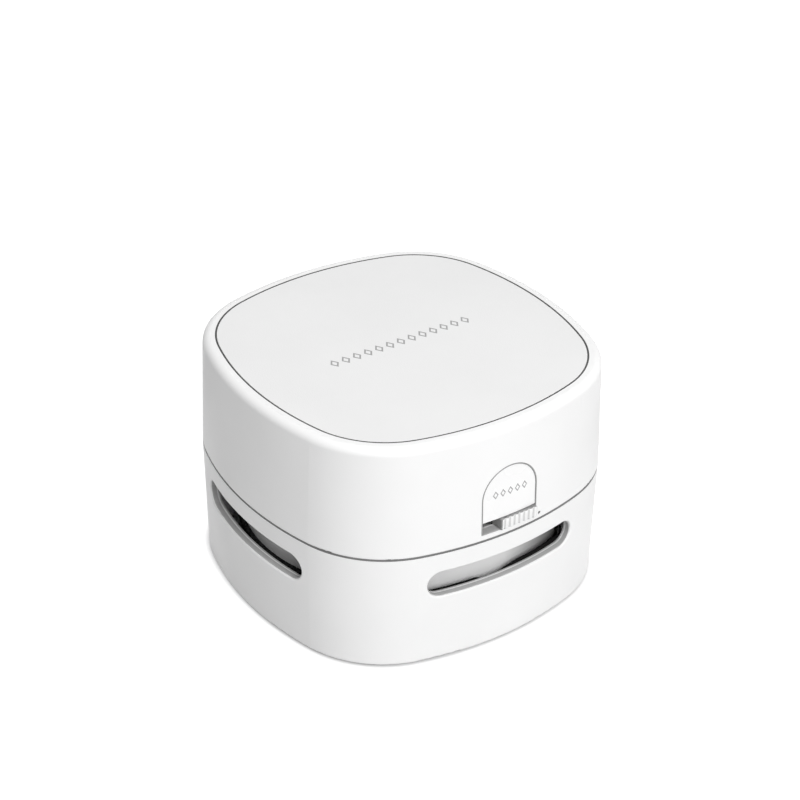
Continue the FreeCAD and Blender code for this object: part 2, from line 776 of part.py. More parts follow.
# ---------------------------------------------------------------------------
# Dust cup with its inlet chimney and the spider that carries the brush
# ---------------------------------------------------------------------------

def make_dust_cup():
    body = new_body("dust_cup")
    floor = "%s + cup_wall" % BASE_TOP
    inside = "%s - cup_wall" % CUP_RADIUS
    chimney = "inlet_radius + chimney_wall"
    chimney_top = "%s + chimney_height" % BASE_TOP
    revolve(body, "cup_section",
            [("inlet_radius", BASE_TOP), (CUP_RADIUS, BASE_TOP), (CUP_RADIUS, CUP_TOP),
             (inside, CUP_TOP), (inside, floor), (chimney, floor), (chimney, chimney_top),
             ("inlet_radius", chimney_top)])
    arm = new_sketch(body, "spider_arm", offset=SPIDER_BOTTOM)
    half = "spider_width / 2"
    reach = "inlet_radius + chimney_wall / 2"
    draw_polygon(arm, [("0", back(half)), (reach, back(half)), (reach, half), ("0", half)])
    repeat_round(body, [pad(body, arm, "spider_depth")], "3")
    hub = draw_circle(new_sketch(body, "spider_hub", offset=SPIDER_BOTTOM), "spider_hub_radius")
    pad(body, hub, "spider_depth")
    bore = draw_circle(new_sketch(body, "bush_bore", offset=SPIDER_BOTTOM), "bush_radius")
    pocket(body, bore, reverse=True)
    tab = new_sketch(body, "cup_tab", offset=BASE_TOP)
    half = "cup_tab_width / 2"
    end = "%s - fit_gap" % wall_at(half, LOWER_INSET)
    draw_polygon(tab, [(inside, back(half)), (end, back(half)), (end, half), (inside, half)])
    repeat_round(body, [pad(body, tab, "cup_wall")], "4")
    piece(body, "dust_cup")


def make_cup_seal():
    body = new_body("cup_seal")
    inner = "%s - seal_width" % CUP_RADIUS
    top = "%s + seal_height" % CUP_TOP
    revolve(body, "seal_section",
            [(inner, CUP_TOP), (CUP_RADIUS, CUP_TOP), (CUP_RADIUS, top), (inner, top)])
    piece(body, "cup_seal")


def make_spindle_bush():
    body = new_body("spindle_bush")
    bore = "spindle_radius + running_clearance"
    flange_top = "%s + bush_flange_thickness" % SPIDER_TOP
    revolve(body, "bush_section",
            [(bore, SPIDER_BOTTOM), ("bush_radius", SPIDER_BOTTOM), ("bush_radius", SPIDER_TOP),
             ("bush_flange_radius", SPIDER_TOP), ("bush_flange_radius", flange_top),
             (bore, flange_top)])
    piece(body, "spindle_bush")


# ---------------------------------------------------------------------------
# Rotating brush
# ---------------------------------------------------------------------------

def make_brush_spindle():
    body = new_body("brush_spindle")
    bottom = "%s - 2 * clip_thickness" % BRUSH_HUB_BOTTOM
    revolve(body, "spindle_section",
            [("0", bottom), ("spindle_radius", bottom), ("spindle_radius", SOCKET_BOTTOM),
             ("socket_radius", SOCKET_BOTTOM), ("socket_radius", SOCKET_TOP), ("0", SOCKET_TOP)])
    slot = new_sketch(body, "drive_slot", offset=SOCKET_TOP)
    reach = "socket_radius + dog_clearance"
    half = "dog_blade_thickness / 2 + dog_clearance"
    draw_polygon(slot, [(back(reach), back(half)), (reach, back(half)), (reach, half), (back(reach), half)])
    pocket(body, slot, "socket_slot_depth")
    piece(body, "brush_spindle")


def make_brush_head():
    """Six tufts set in a hub; each tuft leans down by tuft_droop from the level."""
    count = int(number("tuft_count"))
    droop = math.radians(number("tuft_droop"))
    root = number("tuft_root")
    middle = number("%s - brush_hub_height / 2" % BRUSH_HUB_TOP)
    length = (number("tuft_reach") - root) / math.cos(droop)

    def tuft_bars(name):
        bars = []
        for i in range(count):
            around = 2 * math.pi * i / count
            lean = Vector(math.cos(around) * math.cos(droop), math.sin(around) * math.cos(droop),
                          -math.sin(droop))
            bar = doc.addObject("Part::Cylinder", "%s_%d" % (name, i))
            bind(bar, "Radius", "tuft_radius")
            bar.Height = length
            start = Vector(root * math.cos(around), root * math.sin(around), middle)
            bar.Placement = Placement(start, Rotation(Vector(0, 0, 1), lean))
            bars.append(bar)
        return bars

    ring = new_body("brush_hub_blank")
    revolve(ring, "brush_hub_section",
            [("spindle_radius", BRUSH_HUB_BOTTOM), ("brush_hub_radius", BRUSH_HUB_BOTTOM),
             ("brush_hub_radius", BRUSH_HUB_TOP), ("spindle_radius", BRUSH_HUB_TOP)])
    piece(cut("brush_hub", ring, tuft_bars("tuft_hole")), "brush_hub")
    piece(group("brush_tufts_group", tuft_bars("tuft")), "brush_tufts")


def make_spindle_clip():
    body = new_body("spindle_clip")
    bottom = "%s - clip_thickness" % BRUSH_HUB_BOTTOM
    revolve(body, "clip_section",
            [("spindle_radius", bottom), ("clip_radius", bottom), ("clip_radius", BRUSH_HUB_BOTTOM),
             ("spindle_radius", BRUSH_HUB_BOTTOM)])
    mouth = new_sketch(body, "clip_mouth", offset=BRUSH_HUB_BOTTOM)
    half = "clip_mouth / 2"
    draw_polygon(mouth, [("0", back(half)), ("clip_radius * 2", back(half)),
                         ("clip_radius * 2", half), ("0", half)])
    pocket(body, mouth, "clip_thickness")
    piece(body, "spindle_clip")


# ---------------------------------------------------------------------------
# Filter: a spoked frame, its mesh disc and a foam ring on top
# ---------------------------------------------------------------------------

def make_filter():
    frame = new_body("filter_frame")
    revolve(frame, "filter_ring_section",
            [(FILTER_INSIDE, FILTER_BOTTOM), (FILTER_RADIUS, FILTER_BOTTOM),
             (FILTER_RADIUS, FILTER_TOP), (FILTER_INSIDE, FILTER_TOP)])
    spoke = new_sketch(frame, "filter_spoke", offset=FILTER_BOTTOM)
    half = "filter_spoke_width / 2"
    reach = "%s + filter_ring_width / 2" % FILTER_INSIDE
    draw_polygon(spoke, [("0", back(half)), (reach, back(half)), (reach, half), ("0", half)])
    repeat_round(frame, [pad(frame, spoke, "filter_spoke_height")], "filter_spoke_count")
    tube_radius = "filter_tube_bore + filter_tube_wall"
    tube = draw_circle(new_sketch(frame, "filter_tube", offset=FILTER_BOTTOM), tube_radius)
    pad(frame, tube, "filter_height")
    bore = draw_circle(new_sketch(frame, "filter_bore", offset=FILTER_BOTTOM), "filter_tube_bore")
    pocket(frame, bore, reverse=True)
    piece(frame, "filter_frame")

    mesh = new_body("filter_mesh")
    low = "%s + filter_spoke_height" % FILTER_BOTTOM
    high = "%s + mesh_thickness" % low
    revolve(mesh, "mesh_section",
            [(tube_radius, low), (FILTER_INSIDE, low), (FILTER_INSIDE, high), (tube_radius, high)])
    piece(mesh, "filter_mesh")

    seal = new_body("filter_seal")
    high = "%s + filter_seal_thickness" % FILTER_TOP
    revolve(seal, "filter_seal_section",
            [(FILTER_INSIDE, FILTER_TOP), (FILTER_RADIUS, FILTER_TOP), (FILTER_RADIUS, high),
             (FILTER_INSIDE, high)])
    piece(seal, "filter_seal")


# ---------------------------------------------------------------------------
# Fan housing: the drum, its shroud and the chassis plate in one moulding
# ---------------------------------------------------------------------------

def make_fan_housing():
    body = new_body("fan_housing")
    shroud_bottom = "(%s + shroud_height)" % DRUM_BOTTOM
    shroud_top = "%s + shroud_thickness" % shroud_bottom
    revolve(body, "drum_section",
            [(DRUM_INSIDE, DRUM_BOTTOM), (DRUM_RADIUS, DRUM_BOTTOM),
             (DRUM_RADIUS, CHASSIS_BOTTOM), (DRUM_INSIDE, CHASSIS_BOTTOM),
             (DRUM_INSIDE, shroud_top), ("eye_radius", shroud_top),
             ("eye_radius", shroud_bottom), (DRUM_INSIDE, shroud_bottom)])
    window = new_sketch(body, "outlet_window", "XZ_Plane", "%s - 3 * drum_wall" % DRUM_RADIUS)
    half = "window_width / 2"
    high = "%s - window_drop" % CHASSIS_BOTTOM
    low = "%s - window_height" % high
    draw_polygon(window, [(back(half), low), (half, low), (half, high), (back(half), high)])
    repeat_round(body, [pocket(body, window, reverse=True)], "window_count")
    plate = new_sketch(body, "chassis_outline", offset=CHASSIS_BOTTOM)
    pad(body, draw_rounded_square(plate, LOWER_INSET + " + chassis_clearance"), "chassis_thickness")
    holes = new_sketch(body, "chassis_holes", offset=CHASSIS_BOTTOM)
    draw_circle(holes, "motor_bush_radius")
    for x in ("motor_screw_circle", "-motor_screw_circle"):
        draw_circle(holes, "screw_hole_radius", x)
    for x, y in four_places(CORNER, CORNER) + four_places(CELL_X, "tray_post_offset"):
        draw_circle(holes, "screw_hole_radius", x, y)
    for low, high in mirrored_x(LEG_INSIDE + " - 2 * fit_gap", "flange_half_width + 2 * fit_gap"):
        draw_polygon(holes, [(low, "-body_width"), (high, "-body_width"), (high, back(LEG_PRESSED)),
                             (low, back(LEG_PRESSED))])
    pocket(body, holes, reverse=True)
    posts = new_sketch(body, "board_guides", offset=CHASSIS_TOP)
    front = back("%s + board_thickness" % SWITCH_BACK)
    rear = back("%s - board_thickness" % BOARD_BACK)
    for low, high in mirrored_x("board_half_width - guide_width / 2", "board_half_width + guide_width / 2"):
        draw_polygon(posts, [(low, front), (high, front), (high, rear), (low, rear)])
    pad(body, posts, "guide_height")
    slit = new_sketch(body, "board_slits", offset="%s + guide_height" % CHASSIS_TOP)
    end = "board_half_width"
    draw_polygon(slit, [(back(end), back(SWITCH_BACK)), (end, back(SWITCH_BACK)),
                        (end, back(BOARD_BACK)), (back(end), back(BOARD_BACK))])
    pocket(body, slit, "guide_height")
    piece(body, "fan_housing")


# ---------------------------------------------------------------------------
# Rotor: shaft, armature, impeller and the dog that drives the brush
# ---------------------------------------------------------------------------

def draw_sector(sketch, inner, outer, half_angle):
    """A piece of a ring, spread evenly about the sketch's level axis."""
    spread = math.radians(number(half_angle))
    for radius in (inner, outer):
        circle = Part.Circle(Vector(), Vector(0, 0, 1), number(radius))
        arc = sketch.addGeometry(Part.ArcOfCircle(circle, -spread, spread), False)
        sketch.addConstraint(Sketcher.Constraint("Coincident", arc, 3, -1, 1))
        dimension(sketch, "Radius", (arc,), radius)
        for vertex, sign in ((1, "-"), (2, "")):
            dimension(sketch, "DistanceY", (-1, 1, arc, vertex),
                      "%s(%s) * sin(%s)" % (sign, radius, half_angle))
    ends = [[Vector(r * math.cos(spread), side * r * math.sin(spread), 0)
             for r in (number(inner), number(outer))] for side in (-1, 1)]
    for vertex, (start, end) in zip((1, 2), ends):
        line = sketch.addGeometry(Part.LineSegment(start, end), False)
        sketch.addConstraint(Sketcher.Constraint("Coincident", line, 1, 0, vertex))
        sketch.addConstraint(Sketcher.Constraint("Coincident", line, 2, 1, vertex))
    return sketch


def make_shaft():
    bottom = "(%s + dog_web)" % DOG_BOTTOM
    shaft = cylinder("motor_shaft", "shaft_radius", ("0", "0", bottom), "%s - %s" % (END_TOP, bottom))
    piece(shaft, "motor_shaft")


def make_armature():
    core = new_body("armature_core")
    middle = draw_circle(new_sketch(core, "core_round", offset=ARMATURE_BOTTOM), "armature_core_radius")
    pad(core, middle, ARMATURE_LENGTH)
    arm = new_sketch(core, "pole_arm", offset=ARMATURE_BOTTOM)
    half = "pole_width / 2"
    reach = "%s + pole_shoe / 2" % SHOE_INSIDE
    draw_polygon(arm, [("0", back(half)), (reach, back(half)), (reach, half), ("0", half)])
    shoe = new_sketch(core, "pole_shoe_outline", offset=ARMATURE_BOTTOM)
    draw_sector(shoe, SHOE_INSIDE, "armature_radius", "pole_shoe_angle")
    repeat_round(core, [pad(core, arm, ARMATURE_LENGTH), pad(core, shoe, ARMATURE_LENGTH)], "3")
    bore = draw_circle(new_sketch(core, "core_bore", offset=ARMATURE_BOTTOM), "shaft_radius")
    pocket(core, bore, reverse=True)
    piece(core, "armature_core")

    coils = new_body("armature_windings")
    low = "%s - winding_overhang" % ARMATURE_BOTTOM
    half = "winding_width / 2"
    near = "armature_core_radius + winding_gap"
    far = "sqrt(%s ^ 2 - (winding_width / 2) ^ 2) - winding_gap" % SHOE_INSIDE
    block = new_sketch(coils, "winding_outline", offset=low)
    draw_polygon(block, [(near, back(half)), (far, back(half)), (far, half), (near, half)])
    wound = pad(coils, block, ARMATURE_LENGTH + " + 2 * winding_overhang")
    half = "pole_width / 2"
    tunnel = new_sketch(coils, "winding_tunnel", "YZ_Plane", near)
    draw_polygon(tunnel, [(back(half), ARMATURE_BOTTOM), (half, ARMATURE_BOTTOM), (half, ARMATURE_TOP),
                          (back(half), ARMATURE_TOP)])
    repeat_round(coils, [wound, pocket(coils, tunnel, "armature_radius", reverse=True)], "3")
    piece(coils, "armature_windings")

    ring = new_body("commutator")
    low = "%s + winding_overhang + winding_gap" % ARMATURE_TOP
    high = "%s + commutator_length" % low
    revolve(ring, "commutator_section",
            [("shaft_radius", low), ("commutator_radius", low), ("commutator_radius", high),
             ("shaft_radius", high)])
    piece(ring, "commutator")


def make_impeller():
    body = new_body("impeller")
    plate_bottom = "(%s - impeller_plate)" % IMPELLER_TOP
    revolve(body, "impeller_section",
            [("shaft_radius", IMPELLER_BOTTOM), ("impeller_hub_radius", IMPELLER_BOTTOM),
             ("impeller_hub_radius", plate_bottom), (IMPELLER_RADIUS, plate_bottom),
             (IMPELLER_RADIUS, IMPELLER_TOP), ("shaft_radius", IMPELLER_TOP)])
    blade = new_sketch(body, "impeller_blade", offset=IMPELLER_BOTTOM)
    half = "impeller_blade_thickness / 2"
    root = "impeller_hub_radius - impeller_blade_thickness"
    tip = "%s - impeller_blade_thickness" % IMPELLER_RADIUS
    draw_polygon(blade, [(root, back(half)), (tip, back(half)), (tip, half), (root, half)])
    height = "impeller_blade_height + impeller_plate / 2"
    repeat_round(body, [pad(body, blade, height)], "blade_count")
    piece(body, "impeller")


def make_drive_dog():
    body = new_body("drive_dog")
    sleeve = draw_circle(new_sketch(body, "dog_sleeve", offset=DOG_BOTTOM), "dog_radius")
    pad(body, sleeve, "dog_height")
    blade = new_sketch(body, "dog_blade", offset=DOG_BOTTOM)
    half = "dog_blade_thickness / 2"
    reach = "dog_radius - dog_clearance"
    draw_polygon(blade, [(back(reach), back(half)), (reach, back(half)), (reach, half), (back(reach), half)])
    pad(body, blade, "socket_slot_depth", reverse=True)
    bore = new_sketch(body, "dog_bore", offset="%s + dog_web" % DOG_BOTTOM)
    pocket(body, draw_circle(bore, "shaft_radius"), reverse=True)
    piece(body, "drive_dog")


# ---------------------------------------------------------------------------
# Motor stator
# ---------------------------------------------------------------------------

def make_motor():
    can = new_body("motor_can")
    floor = "%s + can_wall" % CHASSIS_TOP
    revolve(can, "can_section",
            [("motor_bush_radius", CHASSIS_TOP), ("motor_radius", CHASSIS_TOP),
             ("motor_radius", CAN_TOP), (CAN_INSIDE, CAN_TOP), (CAN_INSIDE, floor),
             ("motor_bush_radius", floor)])
    holes = new_sketch(can, "motor_threads", offset=CHASSIS_TOP)
    for x in ("motor_screw_circle", "-motor_screw_circle"):
        draw_circle(holes, "screw_shank_radius", x)
    pocket(can, holes, reverse=True)
    piece(can, "motor_can")

    cap = new_body("motor_end_cap")
    plug = "%s - end_cap_plug" % CAN_TOP
    revolve(cap, "end_cap_section",
            [("motor_bush_radius", plug), (CAN_INSIDE, plug), (CAN_INSIDE, CAN_TOP),
             ("motor_radius", CAN_TOP), ("motor_radius", END_TOP), ("motor_bush_radius", END_TOP)])
    piece(cap, "motor_end_cap")

    magnets = new_body("motor_magnets")
    arc = new_sketch(magnets, "magnet_outline", offset=MAGNET_BOTTOM)
    draw_sector(arc, CAN_INSIDE + " - magnet_thickness", CAN_INSIDE, "magnet_angle")
    length = "%s - magnet_headroom - %s" % (CAN_TOP, MAGNET_BOTTOM)
    repeat_round(magnets, [pad(magnets, arc, length)], "2")
    piece(magnets, "motor_magnets")

    bushes = []
    for name, low in (("lower", CHASSIS_TOP), ("upper", "%s - motor_bush_length" % END_TOP)):
        start = ("0", "0", low)
        sleeve = cylinder(name + "_bush_blank", "motor_bush_radius", start, "motor_bush_length")
        bore = cylinder(name + "_bush_bore", "shaft_radius + running_clearance", start, "motor_bush_length")
        bushes.append(cut(name + "_bush", sleeve, [bore]))
    piece(group("motor_bush_group", bushes), "motor_bushes")

    leaves = []
    tabs = []
    leaf_low = "%s + winding_overhang + winding_gap" % ARMATURE_TOP
    near = "commutator_radius + running_clearance"
    for i, (low, high) in enumerate(mirrored_x(near, near + " + terminal_thickness")):
        leaves.append(box("brush_leaf_%d" % i, (low, high), centred("0", "leaf_width / 2"),
                          (leaf_low, plug)))
    for i, side in enumerate(("-", "")):
        tabs.append(box("motor_tab_%d" % i, centred(side + "terminal_offset", "terminal_width / 2"),
                        centred("0", "terminal_thickness / 2"), (END_TOP, END_TOP + " + terminal_height")))
    piece(group("brush_leaf_group", leaves), "motor_brushes")
    piece(group("motor_tab_group", tabs), "motor_terminals")


# ---------------------------------------------------------------------------
# Cells, their tray and the contacts
# ---------------------------------------------------------------------------

def make_battery_tray():
    blocks = []
    troughs = []
    for i, side in enumerate(("-", "")):
        middle = side + CELL_X
        blocks.append(box("tray_block_%d" % i, centred(middle, TRAY_HALF),
                          centred("0", TRAY_END + " + tray_wall"), (TRAY_BOTTOM, TRAY_TOP)))
        troughs.append(cylinder("trough_%d" % i, TROUGH, (middle, back(TRAY_END), CELL_LEVEL),
                                TRAY_END + " * 2", "Y"))
        troughs.append(box("trough_mouth_%d" % i, centred(middle, TROUGH), centred("0", TRAY_END),
                           (CELL_LEVEL, TRAY_TOP)))
    reach = "%s - %s + tray_wall / 2" % (CELL_X, TRAY_HALF)
    bar_top = "%s + tray_bar_height" % TRAY_BOTTOM
    inner = "%s - tray_bar_width" % TRAY_END
    blocks.append(box("front_bar", centred("0", reach), (back(TRAY_END), back(inner)),
                      (TRAY_BOTTOM, bar_top)))
    blocks.append(box("rear_bar", centred("0", reach), (inner, TRAY_END), (TRAY_BOTTOM, bar_top)))
    blocks.append(box("spring_seat", centred("0", "spring_radius + tray_wall"),
                      (back(TRAY_END), back(inner)), (TRAY_BOTTOM, SPRING_LEVEL + " + spring_radius + tray_wall")))
    pilots = []
    for i, (x, y) in enumerate(four_places(CELL_X, "tray_post_offset")):
        blocks.append(cylinder("tray_post_%d" % i, "tray_post_radius", (x, y, CHASSIS_TOP),
                               "%s + tray_floor / 2 - %s" % (TRAY_BOTTOM, CHASSIS_TOP)))
        pilots.append(cylinder("tray_pilot_%d" % i, "pilot_radius", (x, y, CHASSIS_TOP),
                               TRAY_SCREW_LENGTH))
    piece(cut("battery_tray", fuse("tray_blank", blocks), troughs + pilots), "battery_tray")


def make_coil(name, start, end, radius, wire, turns):
    """A coil spring between two points along Y; its wire's centre line is a helix."""
    length = end.y - start.y
    helix = Part.makeLongHelix(abs(length) / turns, abs(length), radius)
    section = Part.Wire([Part.makeCircle(wire, Vector(radius, 0, 0), Vector(0, 1, 0))])
    shape = Part.Wire(helix.Edges).makePipeShell([section], True, True)
    direction = Vector(0, math.copysign(1, length), 0)
    coil = doc.addObject("Part::Feature", name)
    coil.Shape = shape
    coil.Placement = Placement(start, Rotation(Vector(0, 0, 1), direction))
    return coil


def contact_plate(name, side, y):
    """A plate against the end of a trough, with a solder tab that stands above it."""
    middle = side + CELL_X
    top = "%s + contact_height / 2" % CELL_LEVEL
    plate = box(name + "_plate", centred(middle, "contact_width / 2"), y,
                ("%s - contact_height / 2" % CELL_LEVEL, top))
    tab = box(name + "_tab", centred(middle, "tab_width / 2"), y, (top, top + " + tab_rise"))
    return [plate, tab]


def contact_coil(name, side, front):
    """The spring that pushes a cell's flat end; front says which end of the tray it is at."""
    x = number(side + CELL_X)
    level = number(CELL_LEVEL)
    wire = number("contact_spring_wire")
    slack = wire + number("contact_play")
    near = number(CONTACT_FACE) - slack
    far = number("%s - %s" % (CELL_LENGTH, CELL_FRONT)) + slack
    sign = -1 if front else 1
    radius = number("contact_spring_radius")
    return make_coil(name, Vector(x, sign * near, level), Vector(x, sign * far, level), radius, wire,
                     number("contact_spring_turns"))


def make_contacts():
    front = (back(TRAY_END), back(CONTACT_FACE))
    rear = (CONTACT_FACE, TRAY_END)
    piece(fuse("front_plate_contact", contact_plate("plate_contact", "-", front)), "front_plate_contact")
    plate = fuse("spring_contact_plate_joined", contact_plate("spring_contact", "", front))
    coil = contact_coil("spring_contact_coil", "", True)
    piece(group("front_spring_contact_group", [plate, coil]), "front_spring_contact")
    strip = box("bridge_strip", centred("0", CELL_X), rear,
                (TRAY_TOP + " + fit_gap / 2", CELL_LEVEL + " + contact_height / 2"))
    plates = [box("bridge_plate_%d" % i, centred(side + CELL_X, "contact_width / 2"), rear,
                  centred(CELL_LEVEL, "contact_height / 2")) for i, side in enumerate(("-", ""))]
    joined = fuse("bridge_plates_joined", [strip] + plates)
    coil = contact_coil("bridge_coil", "-", False)
    piece(group("bridge_contact_group", [joined, coil]), "bridge_contact")


def make_cells():
    """Two cells that lie head to tail: the left one's button end faces the front."""
    body_length = "%s - cell_nub_length" % CELL_LENGTH
    for label, side, ahead in (("battery_cell_left", "-", True), ("battery_cell_right", "", False)):
        x = side + CELL_X
        nub_end = "%s - cell_nub_length" % CELL_FRONT
        start = back(nub_end) if ahead else "%s - (%s)" % (nub_end, body_length)
        nub_start = back(CELL_FRONT) if ahead else nub_end
        can = cylinder(label + "_can", "cell_radius", (x, start, CELL_LEVEL), body_length, "Y")
        nub = cylinder(label + "_nub", "cell_nub_radius", (x, nub_start, CELL_LEVEL),
                       "cell_nub_length", "Y")
        piece(fuse(label, [can, nub]), label)


# ---------------------------------------------------------------------------
# Slide switch behind its opening
# ---------------------------------------------------------------------------

def make_switch():
    span = centred("0", "switch_length / 2")
    level = centred(KNOB_LEVEL, "switch_height / 2")
    sheet_in = "switch_length / 2 - frame_sheet"
    level_in = centred(KNOB_LEVEL, "switch_height / 2 - frame_sheet")
    face = "(%s - frame_sheet)" % SWITCH_FRONT
    shell = box("switch_frame_blank", span, (back(SWITCH_FRONT), back(SWITCH_BACK)), level)
    hollow = box("switch_frame_hollow", centred("0", sheet_in), (back(face), back(SWITCH_BACK)), level_in)
    window = box("switch_window", centred("0", "knob_travel / 2 + nib_width / 2 + fit_gap"),
                 (back(SWITCH_FRONT), back(face)), centred(KNOB_LEVEL, "nib_height / 2 + fit_gap"))
    piece(cut("switch_frame", shell, [hollow, window]), "switch_frame")

    base = box("switch_base_blank", centred("0", sheet_in), (back(face), back(SWITCH_BACK)), level_in)
    groove = box("switch_groove", centred("0", "knob_travel / 2 + nib_width / 2 + 3 * fit_gap + frame_sheet"),
                 (back(face), back("%s - foot_depth - fit_gap" % face)),
                 centred(KNOB_LEVEL, "nib_height / 2 + 2 * fit_gap"))
    piece(cut("switch_base", base, [groove]), "switch_base")

    pin_end = "%s - pin_length" % SWITCH_BACK
    pins = []
    holes = []
    for i, x in enumerate(("-pin_pitch", "0", "pin_pitch")):
        for name, store in (("switch_pin", pins), ("pin_hole", holes)):
            store.append(box("%s_%d" % (name, i), centred(x, "pin_width / 2"),
                             (back(SWITCH_BACK), back(pin_end)), centred(KNOB_LEVEL, "pin_thickness / 2")))
    piece(group("switch_terminals_group", pins), "switch_terminals")
    board = box("board_blank", centred("0", "board_half_width"), (back(SWITCH_BACK), back(BOARD_BACK)),
                (CHASSIS_TOP, CHASSIS_TOP + " + board_height"))
    piece(cut("switch_board", board, holes), "switch_board")


def make_slider():
    """The white knob with upright grip ribs, on the switch's dark nib."""
    bite = back("%s + nib_bite" % KNOB_BACK)
    foot_front = "(%s - frame_sheet - fit_gap / 2)" % SWITCH_FRONT
    neck = box("nib_neck", centred("knob_rest", "nib_width / 2"), (bite, back(foot_front)),
               centred(KNOB_LEVEL, "nib_height / 2"))
    foot = box("nib_foot", centred("knob_rest", "nib_width / 2 + 2 * fit_gap"),
               (back(foot_front), back("%s - foot_depth + fit_gap" % foot_front)),
               centred(KNOB_LEVEL, "nib_height / 2 + fit_gap"))
    piece(fuse("switch_actuator", [neck, foot]), "switch_actuator")
    blank = box("knob_blank", centred("knob_rest", "knob_width / 2"), (back(KNOB_FRONT), back(KNOB_BACK)),
                centred(KNOB_LEVEL, "knob_height / 2"))
    cuts = [box("nib_socket", centred("knob_rest", "nib_width / 2"), (bite, back(KNOB_BACK)),
                centred(KNOB_LEVEL, "nib_height / 2"))]
    count = int(number("rib_count"))
    for i in range(count):
        x = "knob_rest + rib_pitch * %g" % (i - (count - 1) / 2)
        cuts.append(box("rib_groove_%d" % i, centred(x, "rib_groove / 2"),
                        (back(KNOB_FRONT), back(KNOB_FRONT + " - rib_depth")),
                        centred(KNOB_LEVEL, "knob_height / 2")))
    piece(cut("switch_knob", blank, cuts), "switch_knob")


# ---------------------------------------------------------------------------
# Push button, its latch and its spring
# ---------------------------------------------------------------------------

def make_push_button():
    """The cap's face is the body's own surface, set back by button_inset."""
    envelope = new_body("button_envelope")
    height = "(total_height - %s)" % UPPER_BOTTOM
    skin = draw_rounded_square(new_sketch(envelope, "button_skin", offset=UPPER_BOTTOM), "button_inset")
    pad(envelope, skin, height, taper="-atan(upper_draft / %s)" % height)
    prism = new_body("button_prism")
    arch = draw_arch(new_sketch(prism, "button_arch", "XZ_Plane", FLANGE_BACK),
                     "opening_half_width - button_gap", BUTTON_BOTTOM, ARCH_CENTRE)
    pad(prism, arch, "body_width / 4")
    cap = doc.addObject("Part::MultiCommon", "button_cap")
    cap.Shapes = [prism, envelope]
    curve = "((dimple_radius ^ 2 + dimple_depth ^ 2) / (2 * dimple_depth))"
    ball = doc.addObject("Part::Sphere", "dimple_ball")
    bind(ball, "Radius", curve)
    place(ball, "0", back("body_width / 2 - button_inset - dimple_depth - upper_draft * dimple_rise + " + curve),
          DIMPLE_LEVEL)
    flange = box("button_flange", centred("0", "flange_half_width"), (back(FLANGE_FRONT), back(FLANGE_BACK)),
                 (FLANGE_BOTTOM, FLANGE_TOP))
    stem = cylinder("button_stem", "stem_radius", ("0", back(FLANGE_BACK), SPRING_LEVEL),
                    "stem_length", "Y")
    piece(cut("push_button", fuse("button_blank", [cap, flange, stem]), [ball]), "push_button")


def make_release_latch():
    """A bent strip: a bar behind the flange and two legs that reach down past the seam."""
    bar_back = "(%s - leg_thickness)" % FLANGE_BACK
    bar_top = "%s - spring_radius - 2 * spring_wire" % SPRING_LEVEL
    knee_bottom = "%s - latch_lap" % FLANGE_BOTTOM
    bar = box("latch_bar", centred("0", "flange_half_width"), (back(FLANGE_BACK), back(bar_back)),
              (knee_bottom, bar_top))
    shapes = [bar]
    leg_back = "(%s - leg_thickness)" % FLANGE_FRONT
    for i, span in enumerate(mirrored_x(LEG_INSIDE, "flange_half_width")):
        shapes.append(box("latch_leg_%d" % i, span, (back(FLANGE_FRONT), back(leg_back)),
                          (LATCH_BOTTOM, FLANGE_BOTTOM)))
        shapes.append(box("latch_knee_%d" % i, span, (back(FLANGE_FRONT), back(bar_back)),
                          (knee_bottom, FLANGE_BOTTOM)))
        shapes.append(box("latch_tooth_%d" % i, span, (back(TOOTH_TIP), back(leg_back)),
                          (LATCH_BOTTOM, LATCH_BOTTOM + " + latch_tooth")))
    piece(fuse("release_latch", shapes), "release_latch")


def make_button_spring():
    wire = number("spring_wire")
    level = number(SPRING_LEVEL)
    start = Vector(0, -number(FLANGE_BACK) + wire, level)
    end = Vector(0, -number(TRAY_END) - wire, level)
    coil = make_coil("button_spring", start, end, number("spring_radius"), wire, number("spring_turns"))
    piece(coil, "button_spring")


# ---------------------------------------------------------------------------
# Upper body: shell, top cover and its foam strips
# ---------------------------------------------------------------------------

